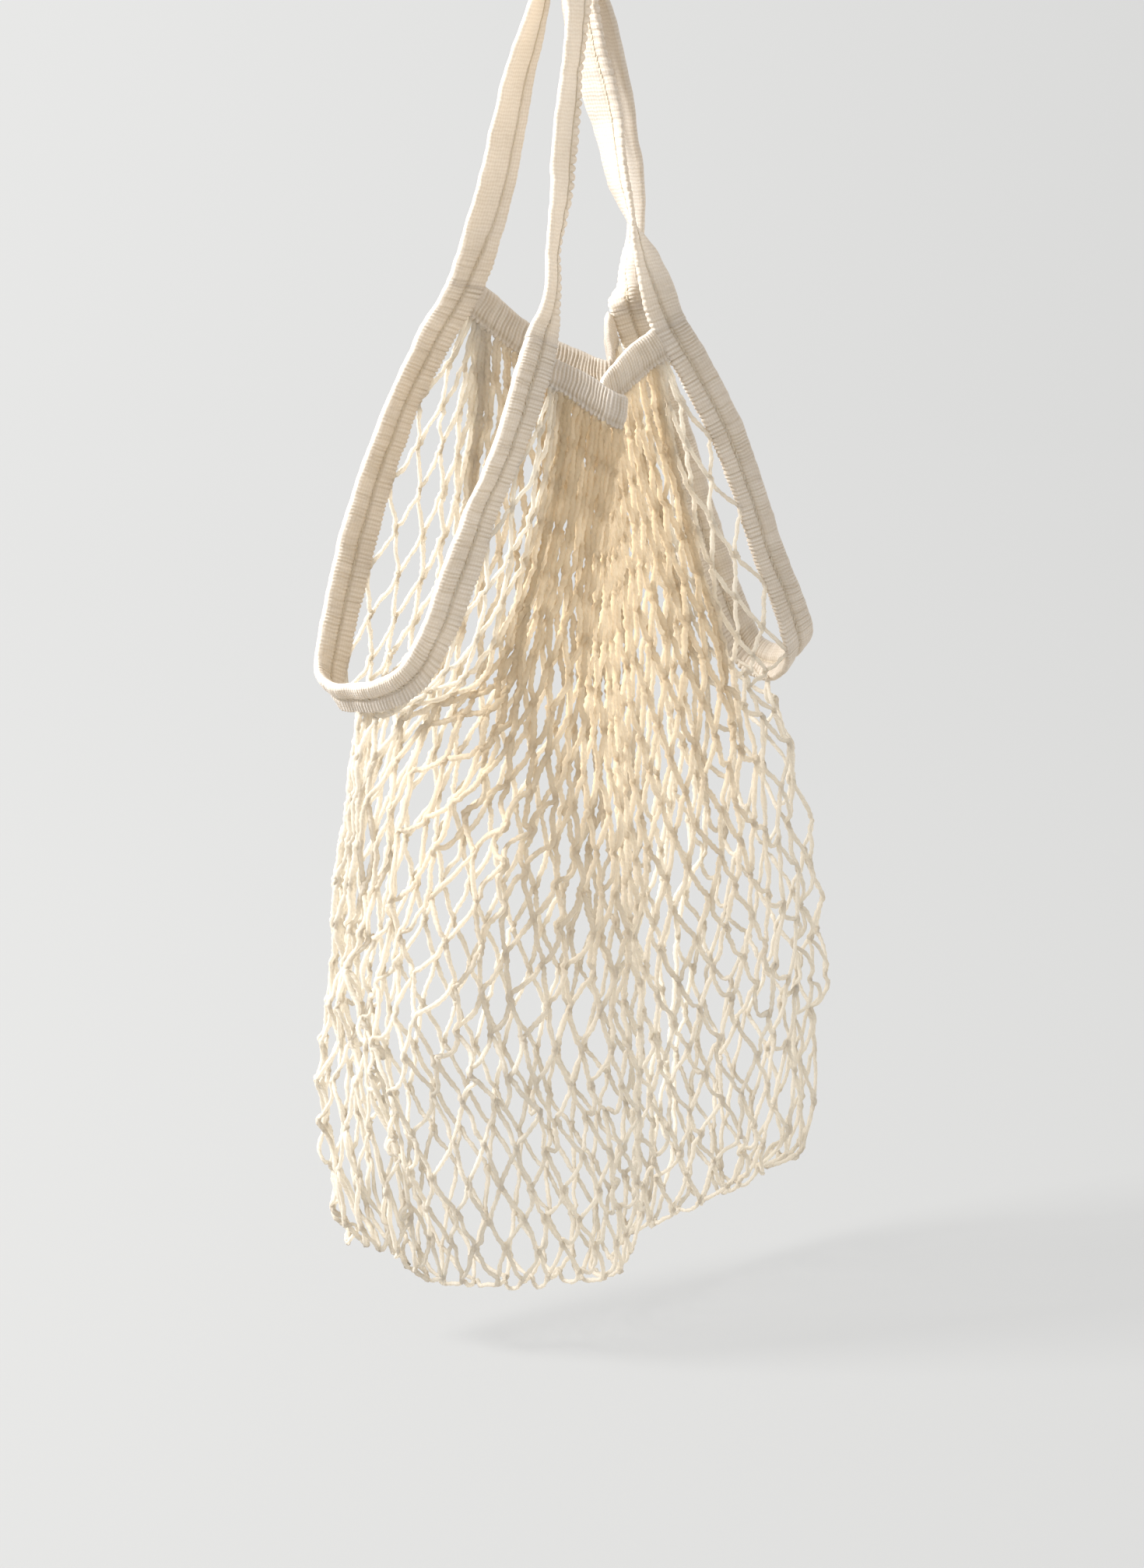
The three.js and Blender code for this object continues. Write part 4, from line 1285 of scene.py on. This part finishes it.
@dataclass
class NetPiece:
    """A share of the net's yarns: round strands that run side by side through each joint, and the joints.

    Fields that end in wales give the yarns, counted from an edge, between which something changes, and those
    that end in drops give shares of the way down.
    """

    name: str
    node: str
    lattice: NetLattice
    panel: Panel
    wales: range
    seed: int
    # These three place and scale the painted glow: a warmer colour painted where the yarn hangs gathered.
    painted_glow_wales: tuple[float, float] = (1, 6)
    painted_glow_drops: tuple[float, float] = (0.15, 0.75)
    painted_glow_strength: float = 0.66
    edge_wales: tuple[float, float] = (1, 6)
    radius: float = 1.08
    top_radius: float = 1.48
    thick_drops: tuple[float, float] = (0.25, 0.95)
    lobe_radius: float = 1.45
    lobe_wales: tuple[float, float] = (5, 12)
    lobe_drops: tuple[float, float, float, float] = (0.34, 0.44, 0.6, 0.8)
    crinkle: float = 0.42
    crinkle_steps: int = 7
    rough: float = 0.09
    rough_steps: int = 3
    ply_depth: float = 0.17
    ply_pitch: float = 3.4
    first_way: tuple[float, float, float] = (0.3, 0.9, 0.2)
    sides: int = 6
    cuts: int = 18
    apart: float = 0.85
    stretch: float = 1.4
    swing: float = 0.3
    bead_size: tuple[float, float, float] = (1.2, 1.1, 2.6)
    bead_uneven: float = 0.1
    bead_way: tuple[float, float, float] = (0.1, 1.0, 0.05)
    bead_sides: int = 8
    bead_rings: int = 6
    bead_lap: float = 0.8
    bead_ends: float = 0.98
    piece: bpy.types.Object | None = field(default=None, repr=False)

    def yarn_lines(self) -> tuple[np.ndarray, np.ndarray, np.ndarray]:
        """The path of each yarn, kept to its own side of the joints.

        Returns:
            Control points of each yarn, and the joints' places and ways down.
        """
        lattice = self.lattice
        order = list(Panel).index(self.panel)
        spots = lattice.spots[lattice.chain[order, list(self.wales)]]
        beyond = lattice.spots[lattice.chain[1 - order, list(self.wales)]][:, -1:, 0]
        joint = np.concatenate([spots[:, :, 0], spots[:, -1:, -1]], 1)
        padded = np.concatenate([joint[:, :1], joint, beyond], 1)
        before, after = padded[:, :-2], padded[:, 2:]
        down = unit(after - before)
        toward = (after + before) / 2 - joint
        kept = joint + unit(toward - down * np.sum(toward * down, -1, keepdims=True)) * self.apart
        shape = lattice.shapes[self.panel]
        column = np.interp(np.array(self.wales) + 0.5, shape.columns[0], lattice.fold_columns)
        kept[:, 0] = lattice.mouth_points(shape, column)
        part = (np.arange(1, lattice.segments) / lattice.segments)[:, None]
        start = (kept + down * self.stretch)[:, :-1, None]
        stop = (kept - down * self.stretch)[:, 1:, None]
        span = np.linalg.norm(stop - start, axis=-1, keepdims=True) * self.swing
        leave, arrive = down[:, :-1, None] * span, down[:, 1:, None] * span
        swung = start * (1 + 2 * part) * (1 - part) ** 2 + stop * part ** 2 * (3 - 2 * part)
        swung = swung + leave * part * (1 - part) ** 2 - arrive * part ** 2 * (1 - part)
        straight = spots[:, :, :1] + (spots[:, :, -1:] - spots[:, :, :1]) * part
        inner = swung + spots[:, :, 1:-1] - straight
        path = np.concatenate([start, inner, stop], 2).reshape(len(joint), -1, 3)
        return np.concatenate([kept[:, :1], path, kept[:, -1:]], 1), joint, down

    def crowd_and_painted_glow(self, drop: np.ndarray, fades: tuple[float, float], left: tuple[float, float]) -> np.ndarray:
        """How closely the yarns are gathered, which sets their thickness and where their painted glow goes.

        Args:
            drop: shares of the way down a yarn.
            fades: shares of the way down between which the gathers open.
            left: yarns, counted from the left, between which the gathers close.

        Returns:
            A row of values from 0 to 1 for each yarn.
        """
        wale = np.array(self.wales)
        inner = np.minimum(ease(*left, wale), ease(*self.edge_wales, self.lattice.columns - 1 - wale))
        return inner[:, None] * (1 - ease(*fades, drop))[None]

    def lobe(self, drop: np.ndarray) -> np.ndarray:
        """How far the yarns are bunched in the lobe under the left slit, as rows of values from 0 to 1."""
        outer = 1 - ease(*self.lobe_wales, np.array(self.wales))
        return outer[:, None] * (ease(*self.lobe_drops[:2], drop) - ease(*self.lobe_drops[2:], drop))[None]

    def tubes(self) -> tuple[np.ndarray, np.ndarray, np.ndarray, np.ndarray]:
        """Sweeps a twisted round section along every yarn.

        Returns:
            Points, faces, face corner UVs and how much painted glow each point gets.
        """
        rng = np.random.default_rng(self.seed)
        path, _, _ = self.yarn_lines()
        count = len(path)
        steps = self.cuts * self.lattice.rows
        drop = np.linspace(0, 1, steps + 1)
        line = SmoothLine(path).at(np.tile(drop, (count, 1)))
        reach = distances(line)
        padded = np.concatenate([line[:, :1], line, line[:, -1:]], 1)
        along = unit(padded[:, 2:] - padded[:, :-2])
        up = unit(np.cross(along[:, 0], np.array(self.first_way)))
        ups = np.zeros_like(line)
        for step in range(steps + 1):
            up = unit(up - along[:, step] * np.sum(up * along[:, step], -1, keepdims=True))
            ups[:, step] = up
        sides = np.cross(along, ups)
        turn = np.arange(self.sides) * 2 * math.pi / self.sides
        rough = soften(rng.normal(0, 1, (count, steps + 1)), self.rough_steps)
        gathers = self.crowd_and_painted_glow(drop, self.thick_drops, self.edge_wales)
        bulk = self.radius + (self.top_radius - self.radius) * gathers
        bulk = np.maximum(bulk, self.radius + (self.lobe_radius - self.radius) * self.lobe(drop))
        twist = 2 * turn[None, None] - 2 * math.pi * reach[..., None] / self.ply_pitch
        ply = np.cos(twist + rng.uniform(0, 6, (count, 1, 1)))
        size = bulk[..., None] * (1 + self.rough * rough[..., None] + self.ply_depth * ply)
        for way in (ups, sides):
            crinkle = soften(rng.normal(0, 1, (count, steps + 1)), self.crinkle_steps)
            line = line + way * (self.crinkle * crinkle)[..., None]
        points = line[:, :, None] + size[..., None] * (
            ups[:, :, None] * np.cos(turn)[:, None] + sides[:, :, None] * np.sin(turn)[:, None])
        quads, uvs = ring_faces(reach, self.sides, 2 * math.pi * self.radius / self.sides)
        # Painted glow: a warmer colour where the yarn hangs gathered, standing in for light come through many
        # strands.
        painted_glow_mask = self.crowd_and_painted_glow(drop, self.painted_glow_drops, self.painted_glow_wales)
        return points.reshape(-1, 3), quads, uvs, np.repeat(painted_glow_mask.ravel(), self.sides)

    def beads(self) -> tuple[np.ndarray, np.ndarray, np.ndarray, np.ndarray]:
        """The thickened joints where two yarns are linked.

        Returns:
            Points, faces, face corner UVs and how much painted glow each point gets.
        """
        rng = np.random.default_rng(self.seed + BEAD_SEED)
        _, joint, down = self.yarn_lines()
        row = np.arange(joint.shape[1])
        owned = (np.array(self.wales)[:, None] + row[None]) % 2 == 0
        owned[:, 0] = False
        centre, way = joint[owned], down[owned]
        across = unit(np.cross(way, np.array(self.bead_way)))
        out = np.cross(across, way)
        size = np.array(self.bead_size) * (1 + rng.normal(0, self.bead_uneven, (len(centre), 3)))
        rise = np.linspace(-1, 1, self.bead_rings + 1) * math.pi / 2 * self.bead_ends
        turn = np.arange(self.bead_sides) * 2 * math.pi / self.bead_sides
        lap = np.cos(rise)[:, None]
        shape = np.stack([lap * np.cos(turn), lap * np.sin(turn), np.sin(rise)[:, None] + 0 * turn], -1)
        basis = np.stack([across, out, way], 1) * size[:, :, None]
        points = centre[:, None, None] + np.einsum("rtk,nkc->nrtc", shape, basis)
        reach = np.tile(np.arange(self.bead_rings + 1.0), (len(centre), 1))
        quads, uvs = ring_faces(reach, self.bead_sides, self.bead_lap)
        # The joints get the same painted glow as their yarns.
        painted_glow_mask = self.crowd_and_painted_glow(row / row[-1], self.painted_glow_drops, self.painted_glow_wales)[owned]
        return points.reshape(-1, 3), quads, uvs, np.repeat(painted_glow_mask, shape[..., 0].size)

    def build(self) -> None:
        """Joins the yarns and the joints in one mesh."""
        points, quads, uvs, painted_glow_mask = self.tubes()
        bead_points, bead_quads, bead_uvs, bead_painted_glow_mask = self.beads()
        self.piece = mesh_object(
            self.name, np.concatenate([points, bead_points]),
            np.concatenate([quads, bead_quads + len(points)]), np.concatenate([uvs, bead_uvs]))
        # Stores the painted glow for the yarn's material.
        mark_points(self.piece, PAINTED_GLOW, self.painted_glow_strength * np.concatenate([painted_glow_mask, bead_painted_glow_mask]))
        close_piece(self.piece, self.bead_sides, False)

    def dress(self, finish: bpy.types.Material) -> None:
        """Gives the yarns their material and their place on the bag."""
        place_piece(self.piece, finish, self.node)


@dataclass
class Studio:
    """A pale seamless studio, in metres: a floor that sweeps up to walls, a soft key light and a pale sky."""

    floor: float = -0.69
    flat_reach: float = 3.2
    wall_reach: float = 5.2
    rise: float = 3.0
    curl: float = 2.2
    size: float = 10.4
    faces: int = 96
    paper: str = "#484847"
    paper_roughness: float = 0.95
    paper_specular: float = 0.1
    paper_light: str = "#FFFFFE"
    paper_way: tuple[float, float, float] = (-0.697, 0.717, 0.0)
    paper_reach: tuple[float, float] = (-0.6, 2.0)
    paper_glow: tuple[float, float] = (0.572, 0.74)
    sky: str = "#FFFFFF"
    sky_strength: float = 0.84
    key_place: tuple[float, float, float] = (-2.24, 0.79, 1.45)
    key_power: float = 215.0
    key_size: float = 0.75
    camera_place: tuple[float, float, float] = (-1.1410, -1.8245, 0.0356)
    camera_aim: tuple[float, float, float] = (-0.000678, 0.000424, -0.4218)
    lens: float = 102.24
    sensor: float = 36.0

    def build_floor(self) -> None:
        """Bends a grid up into a shallow bowl of matt paper, which glows more towards the light's side."""
        bowl, flat = grid_piece("studio_floor", self.faces, self.faces)
        place = (flat - 0.5) * self.size
        reach = np.linalg.norm(place, axis=1)
        part = np.clip((reach - self.flat_reach) / (self.wall_reach - self.flat_reach), 0, 1)
        points = np.column_stack([place, self.floor + self.rise * part ** self.curl])
        bowl.data.vertices.foreach_set("co", np.ravel(points).astype(np.float32))
        bowl.data.update()
        bpy.ops.object.shade_smooth()
        paper = bpy.data.materials.new("matt_studio_paper")
        paper.use_nodes = True
        tree = paper.node_tree
        tree.nodes.clear()
        where = add_node(tree, "ShaderNodeTexCoord")
        fall = add_node(tree, "ShaderNodeVectorMath", {"operation": "DOT_PRODUCT"}, {1: self.paper_way},
                        {0: where.outputs["Object"]})
        span = dict(enumerate(self.paper_reach + self.paper_glow, 1))
        glow = add_node(tree, "ShaderNodeMapRange", None, span, {0: fall.outputs["Value"]})
        shader = add_node(tree, "ShaderNodeBsdfPrincipled", None, {
            "Base Color": linear(self.paper),
            "Roughness": self.paper_roughness,
            "Specular IOR Level": self.paper_specular,
            "Emission Color": linear(self.paper_light),
        }, {"Emission Strength": glow.outputs[0]})
        add_node(tree, "ShaderNodeOutputMaterial", None, None, {"Surface": shader.outputs["BSDF"]})
        bowl.data.materials.append(paper)
        bowl.visible_diffuse = bowl.visible_transmission = bowl.visible_glossy = bowl.visible_shadow = False

    def stand(self, data: bpy.types.ID, place: tuple[float, float, float]) -> bpy.types.Object:
        """Stands a lamp or a camera in the studio, turned to the bag.

        Args:
            data: the lamp or camera.
            place: where it stands.

        Returns:
            Its object.
        """
        made = bpy.data.objects.new(data.name, data)
        made.location = place
        made.rotation_euler = (Vector(self.camera_aim) - Vector(place)).to_track_quat("-Z", "Y").to_euler()
        bpy.context.scene.collection.objects.link(made)
        return made

    def light(self) -> None:
        """Sets the sky and the key light."""
        world = bpy.data.worlds.new("studio_sky")
        world.use_nodes = True
        tree = world.node_tree
        tree.nodes.clear()
        sky = add_node(tree, "ShaderNodeBackground", None,
                       {"Color": linear(self.sky), "Strength": self.sky_strength})
        add_node(tree, "ShaderNodeOutputWorld", None, None, {"Surface": sky.outputs["Background"]})
        bpy.context.scene.world = world
        key = bpy.data.lights.new("key_light", "AREA")
        key.energy, key.size = self.key_power, self.key_size
        self.stand(key, self.key_place)

    def set_camera(self) -> None:
        """Places the camera where the bag was seen from."""
        data = bpy.data.cameras.new("camera")
        data.lens = self.lens
        data.sensor_width = self.sensor
        bpy.context.scene.camera = self.stand(data, self.camera_place)
        bpy.context.scene.view_settings.view_transform = "Standard"


def tape_pieces() -> list[TapePiece]:
    """Lists the tape pieces of the bag.

    Returns:
        Handles, slit bindings and mouth bands.
    """
    tuck, lap = 2.0, 1.2
    handle, binding, band = TapeKind.HANDLE, TapeKind.BINDING, TapeKind.BAND
    rows = [
        ("front_handle", "front_handle", TAPE, -lap, FRONT_RIGHT + lap, handle, 11, (1.5, 0.1)),
        ("right_slit", "right_slit_binding", TAPE, FRONT_RIGHT, BACK_RIGHT, binding, 12),
        ("back_handle", "back_handle", TAPE, BACK_RIGHT - lap, BACK_LEFT + lap, handle, 13, (0.2, 0.1)),
        ("left_slit", "left_slit_binding", TAPE, BACK_LEFT, FRONT_LEFT, binding, 14),
        ("front_mouth", "front_mouth_band", FRONT_RUN, -tuck, FRONT_RUN.length + tuck, band, 15),
        ("back_mouth", "back_mouth_band", BACK_RUN, -tuck, BACK_RUN.length + tuck, band, 16),
    ]
    return [TapePiece(f"{name}_tape", *rest) for name, *rest in rows]


def net_pieces(lattice: NetLattice) -> list[NetPiece]:
    """Lists the pieces of the net.

    Args:
        lattice: the net as it hangs.

    Returns:
        The left and right yarns of the front and the back. Less of the back gets painted glow, since light
        falls on its left between the handles.
    """
    half = lattice.columns // 2
    left, right = range(half), range(half, lattice.columns)
    # Yarns, counted from the left, between which the painted glow comes in on each panel.
    front_painted_glow, back_painted_glow = (1, 6), (3, 24)
    rows = [
        ("net_front_left_yarn", "net_front", Panel.FRONT, left, 21, front_painted_glow),
        ("net_front_right_yarn", "net_front", Panel.FRONT, right, 22, front_painted_glow),
        ("net_back_left_yarn", "net_back", Panel.BACK, left, 23, back_painted_glow),
        ("net_back_right_yarn", "net_back", Panel.BACK, right, 24, back_painted_glow),
    ]
    return [NetPiece(name, node, lattice, *rest) for name, node, *rest in rows]


def report(piece: bpy.types.Object) -> None:
    """Logs a finished piece and its size."""
    triangles = sum(len(face.vertices) - 2 for face in piece.data.polygons)
    LOG.info("%s: %d triangles", piece.name, triangles)


def main() -> None:
    """Builds the studio, the tapes and the net."""
    logging.basicConfig(level=logging.INFO, format="%(name)s %(message)s")
    studio = Studio()
    studio.set_camera()
    studio.build_floor()
    studio.light()
    tape, yarn, thread = (finish.material() for finish in (TAPE_FINISH, YARN_FINISH, THREAD_FINISH))
    for length in tape_pieces():
        length.build()
        length.dress(tape)
        report(length.piece)
        if length.kind is not TapeKind.BAND:
            stitches = SeamStitches(length)
            stitches.build()
            stitches.dress(thread)
            report(stitches.piece)
    lattice = NetLattice()
    lattice.weave()
    lattice.hang()
    for part in net_pieces(lattice):
        part.build()
        part.dress(yarn)
        report(part.piece)


if __name__ == "__main__":
    main()
